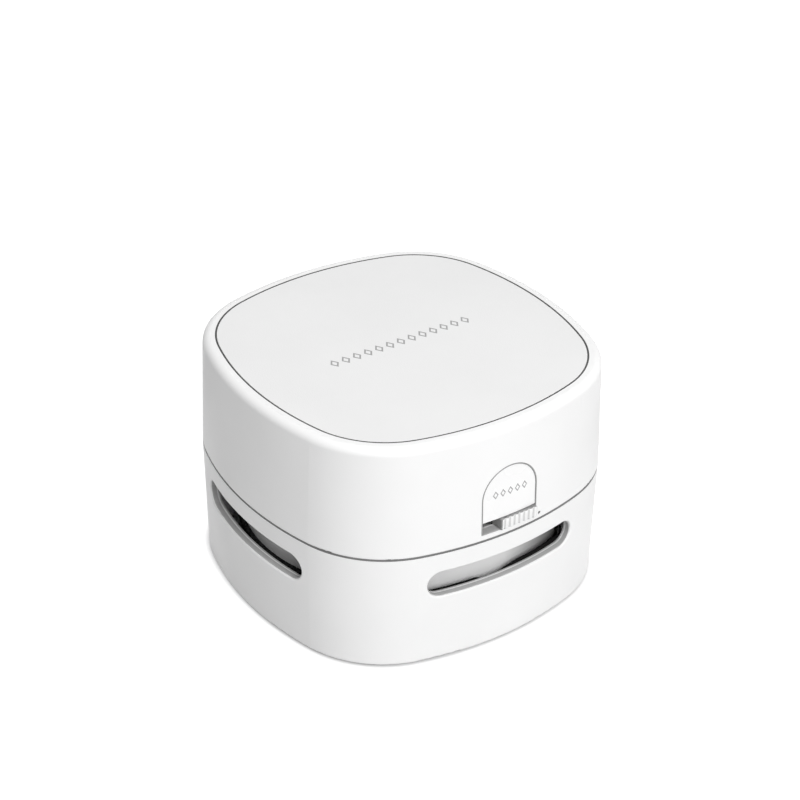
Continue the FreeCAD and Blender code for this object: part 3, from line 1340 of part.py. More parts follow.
def make_upper_shell():
    body = new_body("upper_shell")
    height = "(total_height - %s)" % UPPER_BOTTOM
    outline = draw_rounded_square(new_sketch(body, "upper_outline", offset=UPPER_BOTTOM), "0")
    wall = pad(body, outline, height, taper="-atan(upper_draft / %s)" % height)
    crown = round_edges(body, wall, level_edge("total_height"), "top_rounding")
    round_edges(body, crown, level_edge(UPPER_BOTTOM), "edge_rounding")
    cavity = draw_rounded_square(new_sketch(body, "upper_cavity", offset=UPPER_BOTTOM), UPPER_INSET)
    pocket(body, cavity, "%s - %s" % (LEDGE_BOTTOM, UPPER_BOTTOM), reverse=True)
    recess = draw_rounded_square(new_sketch(body, "cover_recess", offset="total_height"), RECESS_INSET)
    pocket(body, recess, "cover_thickness")
    mouth = draw_rounded_square(new_sketch(body, "ledge_mouth", offset="total_height"), LEDGE_INSET)
    pocket(body, mouth, "cover_thickness + ledge_thickness")
    boss_sketch = new_sketch(body, "upper_boss", offset=CHASSIS_TOP)
    boss = pad(body, draw_circle(boss_sketch, "boss_radius", CORNER, CORNER), "boss_height")
    pilot_sketch = new_sketch(body, "upper_pilot", offset=CHASSIS_TOP)
    pilot = pocket(body, draw_circle(pilot_sketch, "pilot_radius", CORNER, CORNER),
                   "screw_length", reverse=True)
    repeat_round(body, [boss, pilot], "4")
    inside = "%s - shell_wall" % wall_at("0", UPPER_INSET)
    opening = draw_arch(new_sketch(body, "button_opening", "XZ_Plane", inside), "opening_half_width",
                        SLOT_BOTTOM, ARCH_CENTRE)
    pocket(body, opening, reverse=True)
    dot = new_sketch(body, "index_dot", "XZ_Plane", "%s - dot_depth" % wall_at("dot_offset", "0"))
    pocket(body, draw_circle(dot, "dot_radius", "dot_offset", SLOT_BOTTOM + " + dot_rise"), reverse=True)
    piece(body, "upper_shell")


def make_top_cover():
    body = new_body("top_cover")
    outline = new_sketch(body, "cover_outline", offset=COVER_BOTTOM)
    plate = pad(body, draw_rounded_square(outline, RECESS_INSET + " + cover_gap"), "cover_thickness")
    round_edges(body, plate, level_edge("total_height"), "cover_edge_rounding")
    tab = new_sketch(body, "cover_tab", offset=COVER_BOTTOM)
    half = "cover_tab_width / 2"
    face = "(%s - fit_gap)" % wall_at(half, LEDGE_INSET)
    rear = "%s - cover_tab_thickness" % face
    draw_polygon(tab, [(rear, back(half)), (face, back(half)), (face, half), (rear, half)])
    repeat_round(body, [pad(body, tab, "cover_tab_depth", reverse=True)], "4")
    piece(body, "top_cover")

    strips = [box("cover_strip_%d" % i, centred(side + CELL_X, "pad_width / 2"),
                  centred("0", "pad_length / 2"), (COVER_BOTTOM + " - pad_thickness", COVER_BOTTOM))
              for i, side in enumerate(("-", ""))]
    piece(group("cover_pad_group", strips), "cover_pad")


# ---------------------------------------------------------------------------
# Internal leads: straight runs joined by tangent arcs
# ---------------------------------------------------------------------------

# Where the leads are soldered; the points of a route are measured from these
LEAD_ENDS = {
    "left_tab": (back(CELL_X), back(TRAY_END), CELL_LEVEL + " + contact_height / 2"),
    "right_tab": (CELL_X, back(TRAY_END), CELL_LEVEL + " + contact_height / 2"),
    "switch": ("0", back(SWITCH_BACK), KNOB_LEVEL),
    "motor_plus": ("terminal_offset", "0", END_TOP),
    "motor_minus": ("-terminal_offset", "0", END_TOP),
}
LEADS = {
    "lead_cell_to_switch": [
        ("left_tab", -1.1, -0.55, 0.8), ("left_tab", 5.5, -1.8, 0.3), ("switch", -13.4, 3.5, 13.7),
        ("switch", -7.6, 2.5, 8.5), ("switch", -4.7, 2.2, 4.7), ("switch", -4.7, 2.2, 0.25)],
    "lead_switch_to_motor": [
        ("switch", 0.0, 2.2, 0.25), ("switch", 0.0, 2.2, 3.4), ("switch", 4.6, 4.0, 7.1),
        ("right_tab", -16.1, 1.3, -5.7), ("motor_plus", 1.2, -19.0, 0.8), ("motor_plus", 0.0, -11.2, 3.4),
        ("motor_plus", 0.0, -4.6, 1.4), ("motor_plus", 0.0, -0.25, 1.4)],
    "lead_cell_to_motor": [
        ("right_tab", 1.1, -0.55, 0.8), ("right_tab", -6.1, -1.3, 1.3), ("right_tab", -13.5, 3.3, 2.6),
        ("motor_minus", 10.2, -16.4, 4.9), ("motor_minus", 2.8, -10.4, 4.6), ("motor_minus", 0.0, -5.0, 1.4),
        ("motor_minus", 0.0, -0.25, 1.4)],
}
ARC_SHARE = 0.45


def make_lead(name, route):
    points = [Vector(*offset) + Vector(*[number(formula) for formula in LEAD_ENDS[anchor]])
              for anchor, *offset in route]
    radius = number("lead_radius")
    edges = []
    radii = []
    start = points[0]
    for before, corner, after in zip(points, points[1:], points[2:]):
        arriving = (corner - before).normalize()
        leaving = (after - corner).normalize()
        setback = ARC_SHARE * min((corner - before).Length, (after - corner).Length)
        turn = arriving.getAngle(leaving)
        bend = setback / math.tan(turn / 2)
        radii.append(round(bend, 1))
        enter = corner - arriving * setback
        leave = corner + leaving * setback
        inward = (leaving - arriving).normalize()
        middle = corner + inward * (bend / math.cos(turn / 2) - bend)
        edges.append(Part.LineSegment(start, enter).toShape())
        edges.append(Part.Arc(enter, middle, leave).toShape())
        start = leave
    edges.append(Part.LineSegment(start, points[-1]).toShape())
    path = Part.Wire(edges)
    section = Part.Wire([Part.makeCircle(radius, points[0], points[1] - points[0])])
    lead = doc.addObject("Part::Feature", name)
    lead.Shape = path.makePipeShell([section], True, False)
    expected = math.pi * radius * radius * path.Length
    print("%s: bend radii %s mm, volume %.2f of %.2f mm3" % (name, radii, lead.Shape.Volume, expected))
    piece(lead, name)


# ---------------------------------------------------------------------------
# Assembly
# ---------------------------------------------------------------------------

def make_fasteners():
    corners = four_places(CORNER, CORNER)
    make_screws("base_screws", corners, "base_height", "screw_length + base_thickness")
    make_screws("chassis_screws", corners, CHASSIS_BOTTOM, "screw_length + chassis_thickness")
    make_screws("motor_screws", [("motor_screw_circle", "0"), ("-motor_screw_circle", "0")],
                CHASSIS_BOTTOM, "motor_screw_length + chassis_thickness")
    make_screws("tray_screws", four_places(CELL_X, "tray_post_offset"), CHASSIS_BOTTOM,
                TRAY_SCREW_LENGTH + " + chassis_thickness")


def check_document():
    doc.recompute()
    failed = [item.Label for item in doc.Objects
              if {"Invalid", "Error"} & set(item.State)]
    for item in PIECES:
        if item.Shape.isNull() or not item.Shape.isValid() or item.Shape.Volume <= 0:
            failed.append(item.Label)
    if failed:
        raise RuntimeError("These objects failed: %s" % ", ".join(failed))


def write_pieces():
    os.makedirs("parts", exist_ok=True)
    for item in PIECES:
        item.Shape.exportStep(os.path.join("parts", item.Label + ".step"))
    print("wrote %d sub-parts" % len(PIECES))


make_lower_shell()
make_base_plate()
make_glide_feet()
make_bristle_ring()
make_dust_cup()
make_cup_seal()
make_spindle_bush()
make_brush_spindle()
make_brush_head()
make_spindle_clip()
make_filter()
make_fan_housing()
make_shaft()
make_armature()
make_impeller()
make_drive_dog()
make_motor()
make_battery_tray()
make_contacts()
make_cells()
make_switch()
make_slider()
make_push_button()
make_release_latch()
make_button_spring()
make_upper_shell()
make_top_cover()
for lead_name, lead_route in LEADS.items():
    make_lead(lead_name, lead_route)
make_fasteners()
check_document()
write_pieces()
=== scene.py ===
"""Desktop mini vacuum cleaner, dressed section by section as it is put together.

Metres, +Z up, desk top at z = 0; the side with the push button and the slide switch faces -Y.
"""

import math

import bmesh
import bpy
import numpy as np
from mathutils import Matrix, Vector


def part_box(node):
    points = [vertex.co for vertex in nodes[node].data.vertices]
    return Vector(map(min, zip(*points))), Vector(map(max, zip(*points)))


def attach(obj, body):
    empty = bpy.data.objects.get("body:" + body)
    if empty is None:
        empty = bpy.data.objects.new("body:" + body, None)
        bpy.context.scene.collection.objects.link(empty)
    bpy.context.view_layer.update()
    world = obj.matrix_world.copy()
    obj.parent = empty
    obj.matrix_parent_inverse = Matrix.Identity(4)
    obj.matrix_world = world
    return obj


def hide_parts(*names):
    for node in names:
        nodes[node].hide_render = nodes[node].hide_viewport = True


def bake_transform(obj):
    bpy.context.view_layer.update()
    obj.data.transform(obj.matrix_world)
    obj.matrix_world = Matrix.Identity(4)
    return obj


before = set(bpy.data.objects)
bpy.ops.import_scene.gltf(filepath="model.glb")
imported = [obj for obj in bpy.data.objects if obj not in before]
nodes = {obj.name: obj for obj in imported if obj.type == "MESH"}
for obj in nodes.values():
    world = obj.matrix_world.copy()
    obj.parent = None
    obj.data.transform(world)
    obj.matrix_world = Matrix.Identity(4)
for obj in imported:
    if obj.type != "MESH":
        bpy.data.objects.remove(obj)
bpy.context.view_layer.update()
MM = 0.001

# ----------------------
# Camera: a long lens 0.3 m above the desk and half a metre away, in front of
# the machine and to its left, rolled by about a degree.
# ----------------------

CAMERA_PLACE = Vector((-0.23132, -0.32892, 0.29275))
AIM = Vector((0, 0, 0.030))
TILT_UP = math.radians(1.273)
ROLL = math.radians(0.898)
LENS = 90.35
SENSOR = 36

back = (CAMERA_PLACE - AIM).normalized()
right = Vector((0, 0, 1)).cross(back).normalized()
aim_frame = Matrix((right, back.cross(right), back)).transposed()
turn = Matrix.Rotation(TILT_UP, 3, "X") @ Matrix.Rotation(ROLL, 3, "Z")
camera = bpy.data.objects.new("camera", bpy.data.cameras.new("camera"))
camera.data.lens = LENS
camera.data.sensor_width = SENSOR
camera.matrix_world = Matrix.Translation(CAMERA_PLACE) @ (aim_frame @ turn).to_4x4()
bpy.context.scene.collection.objects.link(camera)
bpy.context.scene.camera = camera

# ----------------------
# Desk, room and lamps: a white sweep that shows as plain white behind the
# machine, an even fill all round, a soft lamp in front and one overhead.
# ----------------------


def feed(tree, node, **sockets):
    """Gives a node's sockets, by name or as i0, i1 and so on, a value or the output that feeds them."""
    for key, value in sockets.items():
        socket = node.inputs[int(key[1:])] if key[1:].isdigit() else node.inputs[key.replace("_", " ")]
        if isinstance(value, bpy.types.NodeSocket):
            tree.links.new(value, socket)
        else:
            socket.default_value = value
    return node


def add_node(tree, kind, **sockets):
    return feed(tree, tree.nodes.new(kind), **sockets)


def worked(tree, operation, first, second=0.0):
    """One step of arithmetic on two values or outputs."""
    made = add_node(tree, "ShaderNodeMath", i0=first, i1=second)
    made.operation = operation
    return made.outputs[0]


def new_material(name):
    """A material, its node tree and its shader."""
    material = bpy.data.materials.new(name)
    material.use_nodes = True
    return material, material.node_tree, material.node_tree.nodes["Principled BSDF"]


def coordinates(tree, kind="Object"):
    """The surface's own coordinates: its places in metres, or its UV."""
    return tree.nodes.new("ShaderNodeTexCoord").outputs[kind]


def split(tree, kind="Object"):
    """The same, as three separate numbers."""
    return add_node(tree, "ShaderNodeSeparateXYZ", i0=coordinates(tree, kind)).outputs


def seen_directly(tree):
    """1 where the eye, a mirror or glass looks at the surface, 0 where it only lights others."""
    path = tree.nodes.new("ShaderNodeLightPath")
    either = worked(tree, "MAXIMUM", path.outputs["Is Camera Ray"], path.outputs["Is Glossy Ray"])
    return worked(tree, "MAXIMUM", either, path.outputs["Is Transmission Ray"])


room = bpy.data.worlds.new("room")
bpy.context.scene.world = room
room.use_nodes = True
room_tree = room.node_tree
FILL = 0.345
fill_or_white = add_node(room_tree, "ShaderNodeMix", Factor=seen_directly(room_tree), A=FILL, B=1.0)
feed(room_tree, room_tree.nodes["Background"], Color=(1, 1, 1, 1), Strength=fill_or_white.outputs["Result"])

desk_mesh = bpy.data.meshes.new("desk")
DESK_HALF = 3.0
desk_corners = [(x * DESK_HALF, y * DESK_HALF, 0) for x, y in ((-1, -1), (1, -1), (1, 1), (-1, 1))]
desk_mesh.from_pydata(desk_corners, [], [(0, 1, 2, 3)])
desk = bpy.data.objects.new("desk", desk_mesh)
bpy.context.scene.collection.objects.link(desk)
desk_white, desk_tree, desk_shader = new_material("desk_white")
feed(desk_tree, desk_shader, Base_Color=(0.55, 0.55, 0.55, 1), Roughness=0.9, Specular_IOR_Level=0.1)
DESK_LIFT = 0.82
CONTACT_REACH = 2.0 * MM
# The lift fades close to the machine, so that the desk keeps the contact shadow
near = add_node(desk_tree, "ShaderNodeAmbientOcclusion", Distance=CONTACT_REACH)
lift = worked(desk_tree, "MULTIPLY", seen_directly(desk_tree), DESK_LIFT)
lift = worked(desk_tree, "MULTIPLY", lift, near.outputs["AO"])
glow = add_node(desk_tree, "ShaderNodeEmission", Color=(1, 1, 1, 1), Strength=lift)
both = add_node(desk_tree, "ShaderNodeAddShader", i0=desk_shader.outputs[0], i1=glow.outputs[0])
feed(desk_tree, desk_tree.nodes["Material Output"], Surface=both.outputs[0])
desk_mesh.materials.append(desk_white)


def add_lamp(name, place, width, watts):
    """A square area lamp that faces the machine."""
    lamp = bpy.data.lights.new(name, "AREA")
    lamp.size = width
    lamp.energy = watts
    made = bpy.data.objects.new(name, lamp)
    made.matrix_world = Matrix.Translation(place) @ (
        Vector(place) - AIM).to_track_quat("Z", "Y").to_matrix().to_4x4()
    bpy.context.scene.collection.objects.link(made)


add_lamp("soft_box", (-0.13, -0.84, 0.60), 0.6, 7.15)
add_lamp("ceiling_box", (0.0, -0.05, 1.03), 0.5, 3.3)
bpy.context.scene.view_settings.view_transform = "Standard"

# ----------------------
# Lower shell: a white ABS moulding with bowed sides and an air slot in each. It
# is polished outside, and the tool leaves a very fine grain. Four screws hold it.
# ----------------------


def new_group(name, inputs, outputs):
    """A shader node group: its inputs are numbers, and its outputs (name, kind) pairs."""
    tree = bpy.data.node_groups.new(name, "ShaderNodeTree")
    for label in inputs:
        tree.interface.new_socket(label, in_out="INPUT", socket_type="NodeSocketFloat")
    for label, kind in outputs:
        tree.interface.new_socket(label, in_out="OUTPUT", socket_type=kind)
    return tree, tree.nodes.new("NodeGroupInput"), tree.nodes.new("NodeGroupOutput")


# Grain: fine noise as a shallow relief, and a slow wander for colour and gloss
GRAIN, grain_in, grain_out = new_group(
    "mould_grain", ("Scale", "Depth"), [("Normal", "NodeSocketVector"), ("Wander", "NodeSocketFloat")])
spot = coordinates(GRAIN)
fine = add_node(GRAIN, "ShaderNodeTexNoise", Vector=spot, Scale=grain_in.outputs["Scale"], Detail=2.0)
broad = add_node(GRAIN, "ShaderNodeTexNoise", Vector=spot, Scale=38.0, Detail=3.0)
relief = add_node(GRAIN, "ShaderNodeBump", Strength=1.0, Distance=grain_in.outputs["Depth"],
                  Height=fine.outputs[0])
feed(GRAIN, grain_out, Normal=relief.outputs[0], Wander=broad.outputs[0])

NOISE_LOW, NOISE_HIGH = 0.3, 0.7


def ranged(tree, value, low, high):
    """Noise spread over low to high."""
    made = add_node(tree, "ShaderNodeMapRange", Value=value, i1=NOISE_LOW, i2=NOISE_HIGH, i3=low, i4=high)
    made.interpolation_type = "SMOOTHSTEP"
    return made.outputs[0]


def two_tones(tree, value, dark, light):
    """Noise as a colour between dark and light."""
    ramp = add_node(tree, "ShaderNodeValToRGB", Fac=value)
    ramp.color_ramp.interpolation = "EASE"
    for element, place, colour in zip(ramp.color_ramp.elements, (NOISE_LOW, NOISE_HIGH), (dark, light)):
        element.position = place
        element.color = (*colour, 1)
    return ramp.outputs[0]


def moulded(name, dark, light, roughness, grain_scale=4000.0, grain_depth=0.00002, specular=0.5):
    """Moulded plastic: colour and gloss wander a little, and the tool's grain shows as relief."""
    material, tree, shader = new_material(name)
    grain = tree.nodes.new("ShaderNodeGroup")
    grain.node_tree = GRAIN
    feed(tree, grain, Scale=grain_scale, Depth=grain_depth)
    wander = grain.outputs["Wander"]
    feed(tree, shader, Base_Color=two_tones(tree, wander, dark, light),
         Roughness=ranged(tree, wander, roughness + 0.05, roughness - 0.05),
         Normal=grain.outputs["Normal"], Specular_IOR_Level=specular)
    return material


def grey(level):
    return (level, level, level)


def dress(material, *names):
    for name in names:
        nodes[name].data.materials[0] = material


gloss_white = moulded("gloss_white", grey(0.89), grey(0.91), 0.40, 5200.0, 0.000004, specular=0.22)
dress(gloss_white, "lower_shell")

# ----------------------
# Outlet collars: a grey ring pressed into each of the four air slots, over the cut wall; its grey is painted
# shade on the slot walls, and a thin white line on it is a painted highlight. Behind the front sill a black
# lip is painted shadow under the drum.
# ----------------------

BODY_HALF = 43.5 * MM
SIDE_RADIUS = 79.5 * MM
SIDE_CENTRE = BODY_HALF - SIDE_RADIUS
VENT_LEVEL = 21.6 * MM
VENT_HALF = 20.25 * MM
VENT_END = 3.5 * MM
COLLAR_DEPTHS = (0.62 * MM, 2.45 * MM)
COLLAR_GAP = 0.02 * MM
COLLAR_THICKNESS = 0.16 * MM
SAME_PLACE = 0.0001 * MM


def skin(name, body, material, places, closed_rows=False, smooth_up_to=35.0, along=None):
    """A piece whose surface runs through places[copy, row, column], in metres.

    Each copy is a grid of quads that closes round its columns, and along its rows too if
    closed_rows. A row drawn together in one point is a pole. UV is (column share, along),
    where along is the row's share unless it is given. With body None the piece isn't fixed yet.
    """
    copies, rows, columns = places.shape[:3]
    index = np.arange(copies * rows * columns).reshape(copies, rows, columns)
    index = np.concatenate((index, index[:, :, :1]), axis=2)
    if closed_rows:
        index = np.concatenate((index, index[:, :1]), axis=1)
    quads = np.stack((index[:, :-1, :-1], index[:, 1:, :-1], index[:, 1:, 1:], index[:, :-1, 1:]), axis=-1)
    mesh = bpy.data.meshes.new(name)
    mesh.from_pydata(places.reshape(-1, 3).tolist(), [], quads.reshape(-1, 4).tolist())
    down = np.linspace(0, 1, index.shape[1]) if along is None else along
    corner = np.empty(quads.shape + (2,))
    corner[..., 0] = (np.arange(columns)[:, None] + np.array((0, 0, 1, 1))) / columns
    corner[..., 1] = np.stack((down[:-1], down[1:], down[1:], down[:-1]), axis=-1)[:, None, :]
    mesh.uv_layers.new(name="around_along").data.foreach_set("uv", corner.ravel())
    work = bmesh.new()
    work.from_mesh(mesh)
    bmesh.ops.remove_doubles(work, verts=work.verts, dist=SAME_PLACE)
    bmesh.ops.recalc_face_normals(work, faces=work.faces)
    work.to_mesh(mesh)
    work.free()
    mesh.polygons.foreach_set("use_smooth", np.ones(len(mesh.polygons), bool))
    mesh.set_sharp_from_angle(angle=math.radians(smooth_up_to))
    mesh.materials.append(material)
    piece = bpy.data.objects.new(name, mesh)
    bpy.context.scene.collection.objects.link(piece)
    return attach(piece, body) if body else piece


def with_ends(rows):
    """Rows of places with both ends closed: each end row once more, drawn together in its middle."""
    ends = [np.broadcast_to(rows[k].mean(axis=0), rows[k].shape)[None] for k in (0, -1)]
    return np.concatenate((ends[0], rows, ends[1]))[None]


def side_face(x, inset):
    """How far the bowed side stands out at x, with inset as the depth under its skin."""
    return SIDE_CENTRE + np.sqrt((SIDE_RADIUS - inset) ** 2 - x ** 2)


def quarter_turns(places):
    """The places and their three copies turned by quarter turns about the middle."""
    copies = []
    for quarter in range(4):
        angle = quarter * math.pi / 2
        spin = np.array(((math.cos(angle), math.sin(angle), 0),
                         (-math.sin(angle), math.cos(angle), 0), (0, 0, 1)))
        copies.append(places @ spin)
    return np.concatenate(copies)


def slot_collars():
    """A slot-shaped path with round ends; its section is a thin bar that follows the shell's wall.

    For a direction t, the path's point is the end's centre + (end radius - step) x (cos t, sin t),
    and the section's corners take each of the two steps in from the wall and the two depths.
    """
    steps = (COLLAR_GAP, COLLAR_GAP, COLLAR_GAP + COLLAR_THICKNESS, COLLAR_GAP + COLLAR_THICKNESS)
    depths = (COLLAR_DEPTHS[0], COLLAR_DEPTHS[1], COLLAR_DEPTHS[1], COLLAR_DEPTHS[0])
    straight = VENT_HALF - VENT_END
    half_turn = np.linspace(-np.pi / 2, np.pi / 2, 25)
    at_end = np.full_like(half_turn, straight)
    # Points along the straight runs too, so that the collar follows the bowed wall
    run = np.linspace(straight, -straight, 23)[1:-1]
    upward = np.full_like(run, np.pi / 2)
    turns = np.concatenate((half_turn, upward, half_turn + np.pi, -upward))
    middles = np.concatenate((at_end, run, -at_end, -run))
    reach = VENT_END - np.array(steps)
    x = middles[:, None] + reach * np.cos(turns)[:, None]
    z = VENT_LEVEL + reach * np.sin(turns)[:, None]
    y = -side_face(x, np.array(depths))
    return quarter_turns(np.stack((x, y, z), axis=-1)[None])


def lay_over(tree, share, colour):
    """Lays a colour over the material's own where the share is 1."""
    shader = tree.nodes["Principled BSDF"]
    mixed = tree.nodes.new("ShaderNodeMix")
    mixed.data_type = "RGBA"
    feed(tree, mixed, Factor=share, i6=shader.inputs["Base Color"].links[0].from_socket, i7=(*colour, 1))
    feed(tree, shader, Base_Color=mixed.outputs[2])


# The section's third side faces the opening; a fine light line on it is a painted highlight
HIGHLIGHT_SHARES = (0.548, 0.598)
# Painted shade: the collar's grey stands in for shade on the slot walls
collar_shade_grey = moulded("collar_shade_grey", grey(0.47), grey(0.51), 0.7, 2600.0, 0.00003, specular=0.3)
collar_tree = collar_shade_grey.node_tree
round_section = split(collar_tree, "UV")[0]
past_start = worked(collar_tree, "GREATER_THAN", round_section, HIGHLIGHT_SHARES[0])
before_stop = worked(collar_tree, "LESS_THAN", round_section, HIGHLIGHT_SHARES[1])
lay_over(collar_tree, worked(collar_tree, "MULTIPLY", past_start, before_stop), grey(0.85))
collars = skin("outlet_shade_collars", "root", collar_shade_grey, slot_collars(), closed_rows=True)

LIP_DEPTHS = (2.48 * MM, 3.3 * MM)
LIP_FOOT = 16.9 * MM
# The lip's crest, as pairs of x and z in mm: it dips in the middle and stands higher on the right, following
# the painted shadow under the drum
LIP_CREST = np.array([(-19.4, 18.25), (-6.5, 18.2), (-4.8, 17.6), (0.2, 17.6), (1.6, 18.1), (5.0, 18.7),
                      (19.4, 18.8)]) * MM


def sill_shadow_lip():
    """A strip along the wall's inner face, y = -side face(x) at two depths, from a foot to the crest."""
    x = np.linspace(LIP_CREST[0, 0], LIP_CREST[-1, 0], 81)
    crest = np.interp(x, LIP_CREST[:, 0], LIP_CREST[:, 1])
    foot = np.full_like(x, LIP_FOOT)
    z = np.stack((foot, crest, crest, foot), axis=-1)
    wide = np.broadcast_to(x[:, None], z.shape)
    return with_ends(np.stack((wide, -side_face(wide, np.repeat(LIP_DEPTHS, 2)), z), axis=-1))


# Painted shadow: the near-black lip stands in for the shadow under the drum behind the front sill
lip_shadow_black = moulded("lip_shadow_black", grey(0.006), grey(0.009), 0.8, 2600.0, 0.00002, specular=0.05)
lip = skin("sill_shadow_lip", "root", lip_shadow_black, sill_shadow_lip())

# ----------------------
# Base plate: a flat white ABS ring with the suction mouth in its middle, held
# from below by four steel pan-head screws with a cross recess.
# ----------------------

matt_white = moulded("matt_white", grey(0.80), grey(0.84), 0.5, 3000.0, 0.00002)
dress(matt_white, "base_plate")


def metal(name, dark, light, roughness, streaks=(1.0, 1.0, 1.0), depth=0.000003):
    """Bare metal: stretched noise gives it drawn or turned marks in its relief, colour and gloss."""
    material, tree, shader = new_material(name)
    drawn = add_node(tree, "ShaderNodeVectorMath", i0=coordinates(tree), i1=streaks)
    drawn.operation = "MULTIPLY"
    marks = add_node(tree, "ShaderNodeTexNoise", Vector=drawn.outputs[0], Scale=900.0, Detail=4.0)
    relief = add_node(tree, "ShaderNodeBump", Strength=0.7, Distance=depth, Height=marks.outputs[0])
    feed(tree, shader, Metallic=1.0, Base_Color=two_tones(tree, marks.outputs[0], dark, light),
         Roughness=ranged(tree, marks.outputs[0], roughness - 0.08, roughness + 0.08),
         Normal=relief.outputs[0])
    return material


zinc_steel = metal("zinc_steel", (0.50, 0.50, 0.52), (0.66, 0.66, 0.68), 0.32)
dress(zinc_steel, "base_screws", "chassis_screws", "tray_screws", "motor_screws")

# ----------------------
# Glide feet: four die-cut discs of grey silicone rubber with a domed rim, stuck
# into shallow seats under the base plate.
# ----------------------

FOOT_RADIUS = 3.6 * MM
FOOT_HOLLOW = 0.12 * MM


def softened(corners, radii, steps=4):
    """A closed outline with each corner drawn out as a curve: the quadratic between the two points
    that lie the corner's radius away on its edges, with the corner itself as control point."""
    corners = np.asarray(corners, float)
    radii = np.broadcast_to(np.asarray(radii, float), len(corners))[:, None]
    before = np.roll(corners, 1, axis=0) - corners
    after = np.roll(corners, -1, axis=0) - corners
    start = corners + radii * before / np.linalg.norm(before, axis=1, keepdims=True)
    end = corners + radii * after / np.linalg.norm(after, axis=1, keepdims=True)
    t = np.linspace(0, 1, steps)[None, :, None]
    curve = (1 - t) ** 2 * start[:, None] + 2 * t * (1 - t) * corners[:, None] + t ** 2 * end[:, None]
    return curve.reshape(-1, 2)


def turned(profile, columns):
    """Places of a body of rotation about Z: (r cos t, r sin t, z) for each (r, z) of the profile."""
    angle = np.linspace(0, 2 * np.pi, columns, endpoint=False)
    r, z = profile[:, 0:1], profile[:, 1:2]
    return np.stack((r * np.cos(angle), r * np.sin(angle), z + 0 * angle), axis=-1)


def glide_feet():
    """Discs of rotation with a rounded lower rim and a slightly hollow middle, at four places."""
    low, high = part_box("glide_feet")
    place = high.x - FOOT_RADIUS
    section = softened([(0, low.z + FOOT_HOLLOW), (1.6 * MM, low.z), (FOOT_RADIUS, low.z),
                        (FOOT_RADIUS, high.z), (0, high.z)],
                       [0, 0.4 * MM, 0.45 * MM, 0.05 * MM, 0], 5)
    middles = np.array([(sx * place, sy * place, 0) for sx in (-1, 1) for sy in (-1, 1)])
    return turned(section, 40)[None] + middles[:, None, None, :]


foot_rubber = moulded("foot_rubber", grey(0.10), grey(0.14), 0.75, 2500.0, 0.00004, specular=0.25)
feet = skin("rubber_feet", "root", foot_rubber, glide_feet())
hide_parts("glide_feet")

# ----------------------
# Edge bristles: bundles of short nylon hair set in a dark ring round the mouth,
# which keeps crumbs from being thrown out sideways.
# ----------------------

# Each row of a hair: its share of the length, and its thickness
HAIR_ROWS = np.array(((0, 0, 0.33, 0.7, 1), (0, 1.0, 0.95, 0.8, 0)))
HAIR_BEND = 0.25
CUT_UNEVEN = 0.07
TIP_STRAY = 0.10


def hair_bundles(roots, tips, spread, hairs, radius, splay, seed):
    """Tapered three-sided hairs: a row lies at root + share x (tip - root) - bend x (share - share^2).

    Roots and tips of a bundle are scattered over a disc of the spread's radius with an even
    density, radius = spread x sqrt(random), and the tips are spread out by the splay.
    """
    chance = np.random.default_rng(seed)
    count = len(roots)
    lean = tips - roots
    lean_unit = lean / np.linalg.norm(lean, axis=1, keepdims=True)
    across = np.cross(lean_unit, np.where(abs(lean_unit[:, 2:3]) > 0.9, (1.0, 0, 0), (0, 0, 1.0)))
    across /= np.linalg.norm(across, axis=1, keepdims=True)
    along = np.cross(across, lean_unit)
    out = spread * np.sqrt(chance.random((count, hairs)))
    angle = 2 * np.pi * chance.random((count, hairs))
    offset = ((out * np.cos(angle))[..., None] * across[:, None]
              + (out * np.sin(angle))[..., None] * along[:, None])
    root = roots[:, None] + offset
    length = 1 - CUT_UNEVEN * (1 - chance.random((count, hairs, 1)))
    stray = TIP_STRAY * spread * chance.normal(size=root.shape)
    tip = root + lean[:, None] * length + splay * offset + stray
    share, taper = HAIR_ROWS[:, :, None, None]
    spine = root[..., None, None, :] + share * (tip - root)[..., None, None, :]
    spine = spine - HAIR_BEND * splay * (share - share ** 2) * offset[..., None, None, :]
    side = np.arange(3) * 2 * np.pi / 3
    ring = (np.cos(side)[:, None] * across[:, None, None, :]
            + np.sin(side)[:, None] * along[:, None, None, :])
    places = spine + radius * taper * ring[:, None]
    return places.reshape(count * hairs, HAIR_ROWS.shape[1], 3, 3)


def nylon(name, root, tip, noise_scale):
    """Nylon hair: the colour runs from root to tip along the UV, varied from hair to hair by noise."""
    material = moulded(name, root, tip, 0.35)
    tree = material.node_tree
    vary = add_node(tree, "ShaderNodeTexNoise", Vector=coordinates(tree), Scale=noise_scale, Detail=1.0)
    mixed = worked(tree, "MULTIPLY", split(tree, "UV")[1], vary.outputs[0])
    feed(tree, tree.nodes["Principled BSDF"], Base_Color=two_tones(tree, mixed, root, tip))
    return material


RING_RADIUS = 18.0 * MM
EDGE_TUFTS = 36
ring_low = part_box("bristle_ring")[0].z
tuft_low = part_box("bristle_tufts")[0].z
turns = np.arange(EDGE_TUFTS) * 2 * np.pi / EDGE_TUFTS
tuft_tops = np.stack((RING_RADIUS * np.cos(turns), RING_RADIUS * np.sin(turns), 0 * turns + ring_low),
                     axis=-1)
tuft_ends = tuft_tops + np.array((0, 0, tuft_low - ring_low))
edge_nylon = nylon("edge_nylon", grey(0.05), grey(0.16), 2600.0)
edge_bundles = hair_bundles(tuft_tops, tuft_ends, spread=0.42 * MM, hairs=34, radius=0.05 * MM,
                            splay=0.25, seed=11)
edge_hair = skin("edge_bristle_hair", "root", edge_nylon, edge_bundles, smooth_up_to=80)
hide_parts("bristle_tufts")
ring_grey = moulded("ring_grey", grey(0.10), grey(0.13), 0.5)
dress(ring_grey, "bristle_ring")

